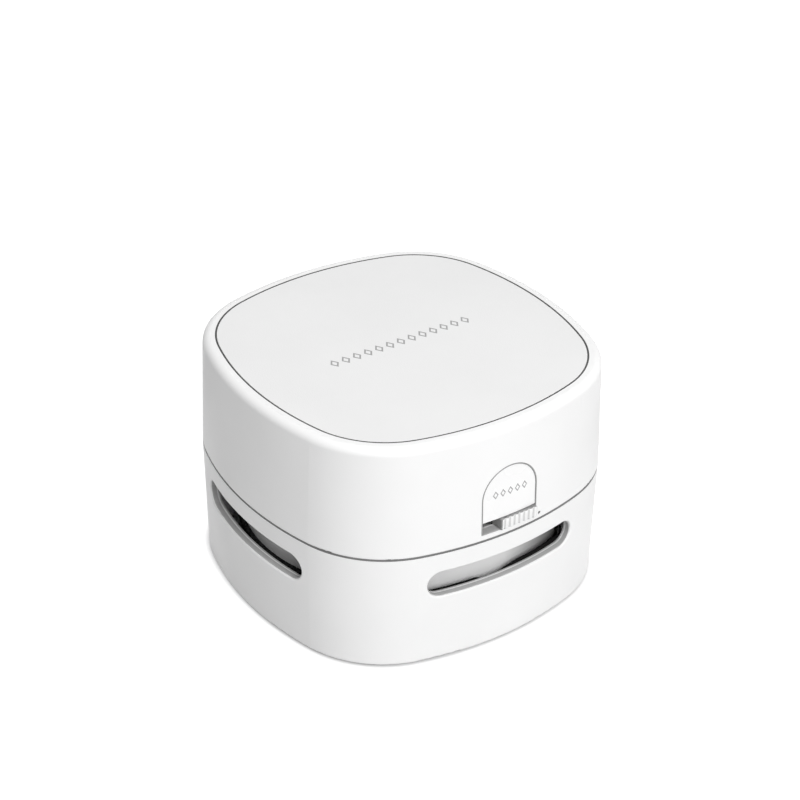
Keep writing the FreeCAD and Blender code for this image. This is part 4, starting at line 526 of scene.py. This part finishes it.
# ----------------------
# Dust cup: a dark ABS bowl with an inlet chimney and a three-armed spider that
# carries the brush; a black foam ring on its rim seals it against the drum.
# ----------------------

dark_abs = moulded("dark_abs", grey(0.030), grey(0.042), 0.40, 3500.0, 0.00002)
dress(dark_abs, "dust_cup")


def foam(name, pore_shade, wall, pore_scale):
    """Open-cell foam: round pores sunk into the surface, with painted shade making them darker inside than
    the walls between them.
    """
    material, tree, shader = new_material(name)
    pores = add_node(tree, "ShaderNodeTexVoronoi", Vector=coordinates(tree), Scale=pore_scale)
    relief = add_node(tree, "ShaderNodeBump", Strength=1.0, Distance=0.0003, Height=pores.outputs["Distance"])
    # The pores' darker colour is painted shade
    feed(tree, shader, Base_Color=two_tones(tree, pores.outputs["Distance"], pore_shade, wall),
         Normal=relief.outputs[0], Roughness=0.95, Specular_IOR_Level=0.1)
    return material


black_foam = foam("black_foam", grey(0.008), grey(0.035), 1600.0)
dress(black_foam, "cup_seal")

# ----------------------
# Brush: a bronze bush in the spider, a turned steel spindle with a slotted
# socket, a black hub with six leaning nylon tufts and a spring-steel clip.
# ----------------------

bronze = metal("bronze", (0.50, 0.33, 0.16), (0.66, 0.46, 0.26), 0.38)
dress(bronze, "spindle_bush")
turned_steel = metal("turned_steel", (0.52, 0.52, 0.53), (0.68, 0.68, 0.69), 0.25, (1.0, 1.0, 9.0))
dress(turned_steel, "brush_spindle", "spindle_clip")
dress(dark_abs, "brush_hub")

TUFTS = 6
TUFT_ROOT = 3.0 * MM
TUFT_REACH = 13.8 * MM
TUFT_LEAN = math.radians(17.0)
hub_low, hub_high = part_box("brush_hub")
turns = np.arange(TUFTS) * 2 * np.pi / TUFTS
outward = np.stack((np.cos(turns), np.sin(turns), 0 * turns), axis=-1)
tuft_level = (hub_low.z + hub_high.z) / 2
tuft_droop = (TUFT_REACH - TUFT_ROOT) * math.tan(TUFT_LEAN)
tuft_starts = TUFT_ROOT * outward + np.array((0, 0, tuft_level))
tuft_stops = TUFT_REACH * outward + np.array((0, 0, tuft_level - tuft_droop))
brush_nylon = nylon("brush_nylon", grey(0.10), grey(0.30), 1500.0)
brush_bundles = hair_bundles(tuft_starts, tuft_stops, spread=0.88 * MM, hairs=130, radius=0.075 * MM,
                             splay=0.12, seed=23)
brush_hair = skin("brush_hair", "brush", brush_nylon, brush_bundles, smooth_up_to=80)
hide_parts("brush_tufts")

# ----------------------
# Drum and chassis: one light grey ABS moulding that guides the air round the fan
# and carries all above it, with a thin apron that stands behind the front slot.
# ----------------------

drum_grey = moulded("drum_grey", grey(0.80), grey(0.84), 0.42, 2600.0, 0.00002)
dress(drum_grey, "fan_housing")

APRON_RADIUS = 54.0 * MM
APRON_FACE = 38.6 * MM
APRON_HALF = 22.0 * MM
APRON_RETURN = 1.6 * MM
DRUM_RADIUS = 37.8 * MM
APRON_LEVELS = (15.9 * MM, 25.6 * MM)
APRON_THICKNESS = 0.5 * MM


def front_apron():
    """A thin wall: its path is an arc, y = arc centre - radius x cos(t) and x = radius x sin(t), whose
    two ends turn in on a quadratic bend and run back to the drum; its section is set on the path's
    inward normal and on Z.
    """
    t = np.linspace(-1, 1, 41) * math.asin(APRON_HALF / APRON_RADIUS)
    centre = APRON_RADIUS - APRON_FACE
    arc = np.stack((APRON_RADIUS * np.sin(t), centre - APRON_RADIUS * np.cos(t)), axis=-1)
    foot_x = APRON_HALF - APRON_RETURN
    foot = np.array((foot_x, -math.sqrt(DRUM_RADIUS ** 2 - foot_x ** 2)))
    share = np.linspace(0, 1, 9)[:, None]
    onto = arc[-1] + 0.5 * (foot - arc[-1])
    bend = (1 - share) ** 2 * arc[-3] + 2 * share * (1 - share) * arc[-1] + share ** 2 * onto
    right_end = np.concatenate((bend, foot[None]))
    left_end = (right_end * (-1, 1))[::-1]
    path = np.concatenate((left_end, arc[3:-3], right_end))
    along = np.gradient(path, axis=0)
    along /= np.linalg.norm(along, axis=1, keepdims=True)
    inward = np.stack((-along[:, 1], along[:, 0]), axis=-1)
    low, high = APRON_LEVELS
    section = softened([(0, low), (0, high), (APRON_THICKNESS, high), (APRON_THICKNESS, low)], 0.2 * MM, 4)
    plan = path[:, None] + section[None, :, :1] * inward[:, None]
    levels = np.broadcast_to(section[None, :, 1:], plan.shape[:2] + (1,))
    return with_ends(np.concatenate((plan, levels), axis=-1))


# Painted shade greys the wall along x, darker toward its right end behind the slot's end
SHADE_SPREAD = (3.0 * MM, 19.0 * MM)
apron_shaded_grey = moulded("apron_shaded_grey", grey(0.80), grey(0.84), 0.5, 2600.0, 0.00002)
apron_shade_tree = apron_shaded_grey.node_tree
painted_shade_share = add_node(apron_shade_tree, "ShaderNodeMapRange", Value=split(apron_shade_tree)[0],
                   i1=SHADE_SPREAD[0], i2=SHADE_SPREAD[1])
lay_over(apron_shade_tree, painted_shade_share.outputs[0], grey(0.20))
apron = skin("front_apron", "power_unit", apron_shaded_grey, front_apron())

# ----------------------
# Filter: a grey frame with six spokes, a woven nylon mesh welded between them
# and a foam ring that presses against the fan's shroud.
# ----------------------

frame_grey = moulded("frame_grey", grey(0.30), grey(0.34), 0.5)
dress(frame_grey, "filter_frame")
dress(black_foam, "filter_seal")

THREAD_PITCH = 0.5 * MM
WAVE_UNIT = math.pi / 10
mesh_white, weave_tree, weave_shader = new_material("filter_weave")
threads = []
for axis in "XY":
    wave = add_node(weave_tree, "ShaderNodeTexWave", Vector=coordinates(weave_tree),
                    Scale=WAVE_UNIT / THREAD_PITCH, Distortion=0.4, Detail=1.0)
    wave.bands_direction = axis
    threads.append(wave.outputs["Fac"])
crossing = worked(weave_tree, "MAXIMUM", *threads)
weave_relief = add_node(weave_tree, "ShaderNodeBump", Strength=0.9, Distance=0.00008, Height=crossing)
feed(weave_tree, weave_shader, Base_Color=two_tones(weave_tree, crossing, grey(0.35), grey(0.78)),
     Normal=weave_relief.outputs[0], Roughness=0.85, Sheen_Weight=0.2)
dress(mesh_white, "filter_mesh")

# ----------------------
# Fan and drive: a black nylon impeller pressed on the motor shaft, and under it
# the dog that drops into the brush spindle's slot.
# ----------------------

fan_black = moulded("fan_black", grey(0.045), grey(0.062), 0.34)
dress(fan_black, "impeller")
dress(dark_abs, "drive_dog")
dress(turned_steel, "motor_shaft")

# ----------------------
# Motor: a drawn steel can with two magnets, a wound three-pole armature, its
# commutator and brushes, and a black end cap with two tabs for the leads.
# ----------------------

drawn_steel = metal("drawn_steel", (0.46, 0.46, 0.47), (0.60, 0.60, 0.61), 0.30, (1.0, 1.0, 0.06), 0.000004)
dress(drawn_steel, "motor_can")
dress(bronze, "motor_bushes")
ferrite = moulded("ferrite", (0.055, 0.055, 0.06), (0.085, 0.085, 0.09), 0.65, 1800.0, 0.00005)
dress(ferrite, "motor_magnets")
lamination = metal("lamination", (0.38, 0.39, 0.41), (0.56, 0.57, 0.59), 0.42, (0.3, 0.3, 14.0), 0.00002)
dress(lamination, "armature_core")

WIRE_PITCH = 0.32 * MM
enamel_copper = metal("enamel_copper", (0.42, 0.14, 0.05), (0.72, 0.30, 0.13), 0.3)
coil_tree = enamel_copper.node_tree
coil_turns = add_node(coil_tree, "ShaderNodeTexWave", Vector=coordinates(coil_tree),
                      Scale=WAVE_UNIT / WIRE_PITCH, Distortion=1.2, Detail=1.0)
coil_turns.bands_direction = "DIAGONAL"
coil_relief = add_node(coil_tree, "ShaderNodeBump", Strength=0.8, Distance=0.00012,
                       Height=coil_turns.outputs["Fac"])
feed(coil_tree, coil_tree.nodes["Principled BSDF"], Normal=coil_relief.outputs[0])
dress(enamel_copper, "armature_windings")
copper = metal("copper", (0.60, 0.27, 0.14), (0.76, 0.38, 0.22), 0.28, (1.0, 1.0, 6.0))
dress(copper, "commutator")
carbon = moulded("carbon", grey(0.025), grey(0.05), 0.5, 3000.0, 0.00003)
dress(carbon, "motor_brushes")
dress(dark_abs, "motor_end_cap")
tinned = metal("tinned", (0.62, 0.61, 0.58), (0.78, 0.77, 0.74), 0.26)
dress(tinned, "motor_terminals")

# ----------------------
# Battery tray: a dark grey moulding with two troughs; nickel-plated contacts
# clip on its ends, two of them wound into springs.
# ----------------------

tray_plastic = moulded("tray_plastic", grey(0.13), grey(0.17), 0.48)
dress(tray_plastic, "battery_tray")
nickel = metal("nickel", (0.60, 0.58, 0.54), (0.76, 0.74, 0.69), 0.24)
dress(nickel, "front_plate_contact", "front_spring_contact", "bridge_contact")

# ----------------------
# Cells: two size AA cells, head to tail. A steel can is drawn to a nub at one
# end, an insulating ring sits round it, and a shrunk sleeve covers the rest.
# ----------------------


def cell_profile(radius, length, nub_radius, nub_length):
    """The cell's outline from the flat end to the nub, as (r, distance from the flat end)."""
    shoulder = length - nub_length
    return softened(
        [(0, 0.25 * MM), (radius - 1.9 * MM, 0.25 * MM), (radius - 1.7 * MM, 0), (radius - 0.55 * MM, 0),
         (radius - 0.45 * MM, 0.12 * MM), (radius, 0.12 * MM), (radius, shoulder - 0.05 * MM),
         (radius - 1.1 * MM, shoulder - 0.05 * MM), (radius - 1.15 * MM, shoulder - 0.3 * MM),
         (nub_radius + 0.35 * MM, shoulder - 0.3 * MM), (nub_radius, shoulder - 0.1 * MM),
         (nub_radius - 0.2 * MM, length - 0.2 * MM), (nub_radius - 0.6 * MM, length), (0, length)],
        np.array([0, .08, .08, .3, .05, .4, .5, .25, .1, .1, .1, .2, .15, 0]) * MM, 5)


NUB_RADIUS = 2.7 * MM
NUB_LENGTH = 1.3 * MM
sleeve = moulded("cell_sleeve", (0.035, 0.036, 0.04), (0.045, 0.046, 0.05), 0.28, 6000.0, 0.000004)


def steps_along(tree, value, stops):
    """Colours that change at the given shares of a value."""
    ramp = add_node(tree, "ShaderNodeValToRGB", Fac=value)
    ramp.color_ramp.interpolation = "CONSTANT"
    for _ in range(len(stops) - 2):
        ramp.color_ramp.elements.new(0.5)
    for element, (share, colour) in zip(ramp.color_ramp.elements, stops):
        element.position = share
        element.color = (*colour, 1)
    return ramp.outputs[0]


for name in ("battery_cell_left", "battery_cell_right"):
    low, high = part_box(name)
    radius = (high.x - low.x) / 2
    profile = cell_profile(radius, high.y - low.y, NUB_RADIUS, NUB_LENGTH)
    run = np.append(0, np.cumsum(np.linalg.norm(np.diff(profile, axis=0), axis=1)))
    share = run / run[-1]
    standing = turned(profile, 72)
    # The flat end faces the spring: the left cell points to the front, the right one to the rear
    ahead = -1 if name.endswith("left") else 1
    start = high.y if ahead < 0 else low.y
    lying = np.stack((standing[..., 0] + (low.x + high.x) / 2, start + ahead * standing[..., 2],
                      standing[..., 1] + (low.z + high.z) / 2), axis=-1)
    made = skin(name + "_dressed", "battery_cells", sleeve, lying[None], along=share)
    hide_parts(name)

# Where along its outline a cell turns from steel to sleeve, band, insulating ring and steel again
from_nub = share[::-1]
END_SHARE = float(share[np.argmax(profile[:, 0] > radius - 0.5 * MM)])
RING_SHARE = float(from_nub[np.argmax(profile[::-1, 0] > radius - 1.0 * MM)])
BAND_SHARE = END_SHARE + 0.72 * (RING_SHARE - END_SHARE)
NUB_SHARE = float(from_nub[np.argmax(profile[::-1, 0] > NUB_RADIUS + 0.3 * MM)])
STEEL, FILM, BAND, RING = (0.62, 0.62, 0.63), (0.17, 0.18, 0.19), (0.66, 0.66, 0.64), (0.75, 0.75, 0.73)
sleeve_tree = sleeve.node_tree
along_cell = split(sleeve_tree, "UV")[1]
look = steps_along(sleeve_tree, along_cell, [(0.0, STEEL), (END_SHARE, FILM), (BAND_SHARE, BAND),
                                             (RING_SHARE, RING), (NUB_SHARE, STEEL)])
bare = steps_along(sleeve_tree, along_cell, [(0.0, grey(1)), (END_SHARE, grey(0)), (NUB_SHARE, grey(1))])
feed(sleeve_tree, sleeve_tree.nodes["Principled BSDF"], Base_Color=look, Metallic=bare)

# ----------------------
# Slide switch: a folded tinned-steel frame over a black base with three pins,
# soldered to a small green board that stands behind the opening.
# ----------------------

dress(tinned, "switch_frame", "switch_terminals")
dress(dark_abs, "switch_base", "switch_actuator")
board_green = moulded("board_green", (0.015, 0.085, 0.04), (0.025, 0.12, 0.055), 0.3, 7000.0, 0.00001)
dress(board_green, "switch_board")

# ----------------------
# Switch knob: a mid-grey ABS slider with a white ribbed grip moulded on its
# face; seven grooves leave eight upright ribs for the fingernail, with painted shade along the grooves.
# ----------------------

RIB_PITCH = 1.33 * MM
GROOVES = 7
GROOVE_DEPTH = 0.34 * MM
# Painted shade: a groove is coloured darker where the cosine of its wave is above this
GROOVE_SHADE_LINE = 0.35
EDGE_BEND = 0.25 * MM
# The four rows at each end: how far in from it they lie, and how far they shrink the section
END_ROWS = np.array(((0.0, 0.0, 0.088, 0.22), (1.0, 0.2, 0.048, 0.0))) * MM
# The grip takes the block's rows 2 to 5, counted from 0 to 7
GRIP_SHARES = (2 / 7, 5 / 7)


def knob_places():
    """A block whose face is y = front + depth x groove(x), with rows that pull in at both ends.

    groove(x) = ((1 + cos(2 pi x / pitch)) / 2)^2, which is 1 in the middle of each groove and 0
    on the crest of each rib; the rows near the top and bottom shrink the section by a radius.
    The face's share of the section comes back with the places.
    """
    low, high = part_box("switch_knob")
    half = (high - low) / 2
    x = np.linspace(-half.x + EDGE_BEND, half.x - EDGE_BEND, 171)
    cut = ((1 + np.cos(2 * np.pi * x / RIB_PITCH)) / 2) ** 2 * (abs(x) < GROOVES / 2 * RIB_PITCH)
    face = np.stack((x, -half.y + GROOVE_DEPTH * cut), axis=-1)
    corner = np.linspace(0, np.pi / 2, 5)[1:-1]
    right_bend = np.stack((half.x - EDGE_BEND + EDGE_BEND * np.sin(corner),
                           -half.y + EDGE_BEND - EDGE_BEND * np.cos(corner)), axis=-1)
    left_bend = right_bend[::-1] * (-1, 1)
    side = np.array([(half.x, -half.y + EDGE_BEND), (half.x, half.y),
                     (-half.x, half.y), (-half.x, -half.y + EDGE_BEND)])
    section = np.concatenate((face, right_bend, side, left_bend))
    rise, shrink = END_ROWS
    levels = np.concatenate((rise - half.z, half.z - rise[::-1]))
    scale = 1 - np.append(shrink, shrink[::-1])[:, None, None] / np.array((half.x, half.y))
    scale[0] = scale[-1] = 0
    flat = section[None] * scale
    levels = np.broadcast_to(levels[:, None, None], flat.shape[:2] + (1,))
    rows = np.concatenate((flat, levels), axis=-1)
    return rows[None] + np.array((low + high) / 2), len(x) / len(section)


knob_shape, FACE_SHARE = knob_places()
KNOB_MIDDLE = (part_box("switch_knob")[0].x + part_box("switch_knob")[1].x) / 2
SLIDER_GREY, GRIP_WHITE, GROOVE_SHADE_GREY = grey(0.27), grey(0.88), grey(0.64)
knob_plastic = moulded("knob_plastic", SLIDER_GREY, SLIDER_GREY, 0.35, 3600.0, 0.00001)
knob_tree = knob_plastic.node_tree
round_knob, up_knob = split(knob_tree, "UV")[:2]
on_face = steps_along(knob_tree, round_knob, [(0.0, grey(1)), (FACE_SHARE, grey(0))])
in_height = steps_along(knob_tree, up_knob, [(0.0, grey(0)), (GRIP_SHARES[0], grey(1)),
                                             (GRIP_SHARES[1], grey(0))])
grip = worked(knob_tree, "MULTIPLY", on_face, in_height)
from_middle = worked(knob_tree, "SUBTRACT", split(knob_tree)[0], KNOB_MIDDLE)
phase = worked(knob_tree, "MULTIPLY", from_middle, 2 * math.pi / RIB_PITCH)
in_groove_shade = worked(knob_tree, "GREATER_THAN", worked(knob_tree, "COSINE", phase), GROOVE_SHADE_LINE)
groove_shade_half = worked(knob_tree, "MULTIPLY", worked(knob_tree, "MULTIPLY", in_groove_shade, grip), 0.5)
marked = worked(knob_tree, "SUBTRACT", grip, groove_shade_half)
knob_look = steps_along(knob_tree, marked, [(0.0, SLIDER_GREY), (0.25, GROOVE_SHADE_GREY), (0.75, GRIP_WHITE)])
feed(knob_tree, knob_tree.nodes["Principled BSDF"], Base_Color=knob_look)
knob = skin("ribbed_knob", "switch_slider", knob_plastic, knob_shape)
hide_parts("switch_knob")

# ----------------------
# Push button: a white ABS arch whose face continues the shell, with a finger
# hollow and a printed ornament; its tinned steel latch lets the dust cup go.
# ----------------------

# A row of lozenge outlines: d = distance to the nearest middle / half width + |up| / half height
LOZENGES, lozenge_in, lozenge_out = new_group(
    "lozenge_row", ("Across", "Up", "Pitch", "Width", "Height", "Half Length", "Stroke"),
    [("Ink", "NodeSocketFloat")])
given = lozenge_in.outputs


def step(operation, first, second=0.0):
    """One step of arithmetic inside that group."""
    return worked(LOZENGES, operation, first, second)


aside = step("PINGPONG", given["Across"], step("MULTIPLY", given["Pitch"], 0.5))
aside = step("DIVIDE", aside, step("MULTIPLY", given["Width"], 0.5))
above = step("DIVIDE", step("ABSOLUTE", given["Up"]), step("MULTIPLY", given["Height"], 0.5))
reach = step("ADD", aside, above)
past_core = step("GREATER_THAN", reach, step("SUBTRACT", 1.0, given["Stroke"]))
outlined = step("MULTIPLY", step("LESS_THAN", reach, 1.0), past_core)
in_row = step("LESS_THAN", step("ABSOLUTE", given["Across"]), given["Half Length"])
feed(LOZENGES, lozenge_out, Ink=step("MULTIPLY", outlined, in_row))

STROKE = 0.42
INK = grey(0.34)


def print_lozenges(material, up_axis, level, face, count, pitch, width, height):
    """Prints the row on a material along X, up Z on a front (up_axis 2) or along Y on a top (up_axis 1).

    face is the y below which, or the z above which, the ink shows, so that the inner side stays bare.
    """
    tree = material.node_tree
    at = split(tree)
    row = tree.nodes.new("ShaderNodeGroup")
    row.node_tree = LOZENGES
    feed(tree, row, Across=at[0], Up=worked(tree, "SUBTRACT", at[up_axis], level), Pitch=pitch,
         Width=width, Height=height, Half_Length=count * pitch / 2, Stroke=STROKE)
    if up_axis == 2:
        outside = worked(tree, "LESS_THAN", at[1], face)
    else:
        outside = worked(tree, "GREATER_THAN", at[2], face)
    lay_over(tree, worked(tree, "MULTIPLY", row.outputs["Ink"], outside), INK)


BUTTON_FACE = -42.0 * MM
button_white = moulded("button_white", grey(0.89), grey(0.91), 0.30, 5200.0, 0.000004)
print_lozenges(button_white, 2, 41.45 * MM, BUTTON_FACE, 5, 2.0 * MM, 1.5 * MM, 2.1 * MM)
dress(button_white, "push_button")
dress(tinned, "release_latch")

SPRING_WIRE = 0.30 * MM
SPRING_TURNS = 7
SPRING_CLOSING = 0.6


def return_spring(low, high):
    """A round wire along a helix about Y, c = (R cos a, y, R sin a) with a = 2 pi turns x share.

    y runs from end to end as share - closing x sin(2 pi share) / (2 pi), so that the end coils
    lie close together and the middle ones stand open. The wire's ring is set on the helix's
    radial direction and on the cross product of that with its tangent.
    """
    share = np.linspace(0, 1, SPRING_TURNS * 30 + 1)
    radius = (high.z - low.z) / 2 - SPRING_WIRE
    angle = 2 * np.pi * SPRING_TURNS * share
    run = share - SPRING_CLOSING * np.sin(2 * np.pi * share) / (2 * np.pi)
    y = low.y + SPRING_WIRE + (high.y - low.y - 2 * SPRING_WIRE) * run
    middle = np.stack((radius * np.cos(angle), y, (low.z + high.z) / 2 + radius * np.sin(angle)), axis=-1)
    radial = np.stack((np.cos(angle), 0 * angle, np.sin(angle)), axis=-1)
    tangent = np.gradient(middle, axis=0)
    tangent /= np.linalg.norm(tangent, axis=1, keepdims=True)
    aside = np.cross(tangent, radial)
    ring = np.linspace(0, 2 * np.pi, 10, endpoint=False)[None, :, None]
    return with_ends(middle[:, None] + SPRING_WIRE * (np.cos(ring) * radial[:, None]
                                                      + np.sin(ring) * aside[:, None]))


spring_steel = metal("spring_steel", (0.44, 0.44, 0.46), (0.62, 0.62, 0.64), 0.27)
spring_low, spring_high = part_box("button_spring")
spring = skin("return_spring", None, spring_steel, return_spring(spring_low, spring_high), smooth_up_to=80)
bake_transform(spring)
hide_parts("button_spring")

# ----------------------
# Leads: three stranded copper leads in red, white and black PVC, laid by hand in
# easy bends and soldered to the contacts, the switch pins and the motor's tabs.
# ----------------------

LEAD_RADIUS = 0.55 * MM
LEADS = {
    "lead_cell_to_switch": ("lead_red", [
        (-25.6, -28.45, 52.1), (-19.0, -29.7, 51.6), (-13.4, -31.4, 47.15), (-7.6, -32.4, 41.95),
        (-4.7, -32.7, 38.15), (-4.7, -32.7, 33.7)]),
    "lead_switch_to_motor": ("lead_white", [
        (0.0, -32.7, 33.7), (0.0, -32.7, 36.85), (4.6, -30.9, 40.55), (8.4, -26.6, 45.6),
        (8.2, -19.0, 50.8), (7.0, -11.2, 53.4), (7.0, -4.6, 51.4), (7.0, -0.25, 51.4)]),
    "lead_cell_to_motor": ("lead_black", [
        (25.6, -28.45, 52.1), (18.4, -29.2, 52.6), (11.0, -24.6, 53.9), (3.2, -16.4, 54.9),
        (-4.2, -10.4, 54.6), (-7.0, -5.0, 51.4), (-7.0, -0.25, 51.4)]),
}
PVC = {"lead_red": ((0.42, 0.015, 0.012), (0.52, 0.025, 0.02)), "lead_white": (grey(0.70), grey(0.78)),
       "lead_black": (grey(0.018), grey(0.03))}

for name, (slot, route) in LEADS.items():
    curve = bpy.data.curves.new(name + "_pvc", "CURVE")
    curve.dimensions = "3D"
    curve.resolution_u = 12
    curve.bevel_depth = LEAD_RADIUS
    curve.bevel_resolution = 4
    curve.use_fill_caps = True
    line = curve.splines.new("NURBS")
    line.points.add(len(route) - 1)
    line.points.foreach_set("co", np.column_stack((np.array(route) * MM, np.ones(len(route)))).ravel())
    line.order_u = 3
    line.use_endpoint_u = True
    curve.materials.append(moulded(slot + "_pvc", *PVC[slot], 0.36, 3000.0, 0.00001))
    lead = bpy.data.objects.new(name + "_pvc", curve)
    bpy.context.scene.collection.objects.link(lead)
    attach(lead, "power_unit")
    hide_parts(name)


def solder_drops(places, radius):
    """Flattened drops of rotation, r = radius x sin(t) x (1 - 0.25 cos t), one at each place."""
    t = np.linspace(0, np.pi, 13)
    profile = np.stack((radius * np.sin(t) * (1 - 0.25 * np.cos(t)), -0.8 * radius * np.cos(t)), axis=-1)
    return turned(profile, 20)[None] + places[:, None, None, :]


ends = np.array([route[k] for _, route in LEADS.values() for k in (0, -1)]) * MM
solder = metal("solder", (0.60, 0.60, 0.60), (0.74, 0.74, 0.74), 0.2)
joints = skin("solder_joints", "power_unit", solder, solder_drops(ends, 0.85 * MM), smooth_up_to=80)

# ----------------------
# Upper shell: the same polished white ABS, with an arched opening for the button
# and the slide switch. A dark ring in its seam, a grey ring round the opening and a
# grey strip on its sill are painted shade, and a dot marks the end of the slide where the knob rests.
# ----------------------

dress(gloss_white, "upper_shell")

UPPER_BOTTOM = 30.3 * MM
UPPER_DRAFT = 1.0 * MM
CORNER_RADIUS = 26.3 * MM
SOLID_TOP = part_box("upper_shell")[1].z
CORNER_CENTRE = (SIDE_CENTRE + math.sqrt(2 * (SIDE_RADIUS - CORNER_RADIUS) ** 2 - SIDE_CENTRE ** 2)) / 2
SIDE_ANGLE = math.atan2(CORNER_CENTRE, CORNER_CENTRE - SIDE_CENTRE)


def plan_outline(inset, turns):
    """The housing's outline seen from above, moved in by inset: one point for each outward direction.

    The point is an arc's centre + (its radius - inset) x direction; within SIDE_ANGLE of an axis the arc
    is that side's shallow one, and elsewhere it is the corner's.
    """
    quarter = np.pi / 2
    off = (turns + quarter / 2) % quarter - quarter / 2
    on_side = abs(off) < SIDE_ANGLE
    toward = np.where(on_side, turns - off, turns - off + np.sign(off) * quarter / 2)
    away = np.where(on_side, SIDE_CENTRE, CORNER_CENTRE * math.sqrt(2))
    radius = np.where(on_side, SIDE_RADIUS, CORNER_RADIUS) - inset
    return np.stack((away * np.cos(toward) + radius * np.cos(turns),
                     away * np.sin(toward) + radius * np.sin(turns)), axis=-1)


def swept_round(section, steps=576):
    """A section of (inset, z) points carried round the housing's outline."""
    turns = np.linspace(0, 2 * np.pi, steps, endpoint=False)[:, None]
    inset, z = section[:, 0], section[:, 1]
    plan = plan_outline(inset, np.broadcast_to(turns, (steps, len(section))))
    return np.concatenate((plan, np.broadcast_to(z[None, :, None], plan.shape[:2] + (1,))), axis=-1)[None]


# Painted shade: the dark ring in the seam stands in for shade in the joint
seam_shade_grey = moulded("seam_shade_grey", grey(0.17), grey(0.20), 0.7, 2600.0, 0.00002, specular=0.2)
seam_section = softened(
    np.array([(0.12, 29.79), (0.30, 29.95), (0.60, 30.03), (1.60, 30.03), (1.60, 30.18), (0.60, 30.18),
              (0.30, 30.34), (0.12, 30.50)]) * MM, 0.02 * MM, 3)
seam_shade_gasket = skin("seam_shade_gasket", "power_unit", seam_shade_grey, swept_round(seam_section), closed_rows=True)

OPENING_HALF = 7.5 * MM
OPENING_BOTTOM = 31.8 * MM
JAMB_FOOT = OPENING_BOTTOM + 0.2 * MM
ARCH_LEVEL = 40.6 * MM


def opening_shade_collar():
    """An arch-shaped path: right jamb, half circle, left jamb; its section lies on the cut wall.

    For a step s in from the wall, x = (half width - s) x fx and
    z = share x jamb foot + (1 - share) x arch level + (half width - s) x fz.
    """
    jamb = np.linspace(1, 0, 8)
    arc = np.linspace(0, np.pi, 37)[1:]
    fx = np.concatenate((np.ones(8), np.cos(arc), -np.ones(7)))
    fz = np.concatenate((np.zeros(8), np.sin(arc), np.zeros(7)))
    share = np.concatenate((jamb, np.zeros(36), jamb[::-1][1:]))
    steps = np.array((0.02, -0.13, -0.13, 0.16, 0.16, 0.02)) * MM
    depths = np.array((-0.005, -0.005, -0.03, -0.03, 2.30, 2.30)) * MM
    width = OPENING_HALF - steps
    x = fx[:, None] * width
    spring_line = share * JAMB_FOOT + (1 - share) * ARCH_LEVEL
    z = spring_line[:, None] + fz[:, None] * width
    drafted = UPPER_DRAFT * (z - UPPER_BOTTOM) / (SOLID_TOP - UPPER_BOTTOM)
    return with_ends(np.stack((x, -side_face(x, drafted + depths), z), axis=-1))


# Painted shade: the grey collar darkens the gap round the button and the opening's walls
opening_shade_grey = moulded("opening_shade_grey", grey(0.27), grey(0.31), 0.7, 2600.0, 0.00002, specular=0.2)
opening = skin("opening_shade_collar", "power_unit", opening_shade_grey, opening_shade_collar())


def slide_shade_strip():
    """A flat bar on the opening's sill: its section is carried along x on the bowed wall."""
    x = np.linspace(-1, 1, 15)[:, None] * (OPENING_HALF - 0.02 * MM)
    depth = np.array((0.14, 2.30, 2.30, 0.14)) * MM
    height = np.array((0.01, 0.01, 0.15, 0.15)) * MM
    drafted = UPPER_DRAFT * (OPENING_BOTTOM - UPPER_BOTTOM) / (SOLID_TOP - UPPER_BOTTOM)
    y = -side_face(x, drafted + depth)
    return with_ends(np.stack(np.broadcast_arrays(x, y, OPENING_BOTTOM + height), axis=-1))


# Painted shade: the grey strip darkens the sill under the button, where shade falls
strip_shade_grey = moulded("strip_shade_grey", grey(0.46), grey(0.50), 0.6, 2600.0, 0.00002, specular=0.3)
strip = skin("slide_shade_strip", "power_unit", strip_shade_grey, slide_shade_strip())

DOT_AT = (8.7 * MM, 32.0 * MM)
DOT_RADIUS = 0.38 * MM
DOT_SUNK = 0.1 * MM


def index_mark():
    """A filled dot: a disc of rotation with a soft edge, laid on its side in the small round hollow."""
    outline = [(0, 0), (DOT_RADIUS, 0), (DOT_RADIUS, 0.2 * MM), (0, 0.2 * MM)]
    disc = turned(softened(outline, [0, 0.06 * MM, 0.06 * MM, 0]), 24)
    floor = DOT_SUNK - side_face(DOT_AT[0], 0.08 * MM)
    return np.stack((disc[..., 0] + DOT_AT[0], floor + disc[..., 2], disc[..., 1] + DOT_AT[1]), axis=-1)[None]


mark_grey = moulded("mark_grey", grey(0.14), grey(0.17), 0.5, 2600.0, 0.00001)
index_dot = skin("index_mark", "power_unit", mark_grey, index_mark())

# ----------------------
# Top cover: a satin white lid over the cells with a printed ornament; a dark
# ring in the gap to the rim is painted shade there, and two foam strips under the lid hold the cells.
# ----------------------

COVER_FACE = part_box("top_cover")[1].z - 0.6 * MM
cover_white = moulded("cover_white", grey(0.815), grey(0.835), 0.55, 3600.0, 0.00003)
print_lozenges(cover_white, 1, 0.0, COVER_FACE, 13, 3.05 * MM, 2.2 * MM, 3.3 * MM)
dress(cover_white, "top_cover")
dress(black_foam, "cover_pad")

rim_corners = np.array([(3.91, 56.65), (4.23, 56.65), (4.23, 58.40), (4.37, 58.57), (3.91, 58.57)]) * MM
rim_section = softened(rim_corners, 0.02 * MM, 3)
# Painted shade: the near-black ring stands in for shade in the gap round the cover
rim_shade_black = moulded("rim_shade_black", grey(0.07), grey(0.09), 0.7, 2600.0, 0.00002, specular=0.2)
rim_shade_gasket = skin("rim_shade_gasket", "power_unit", rim_shade_black, swept_round(rim_section), closed_rows=True)
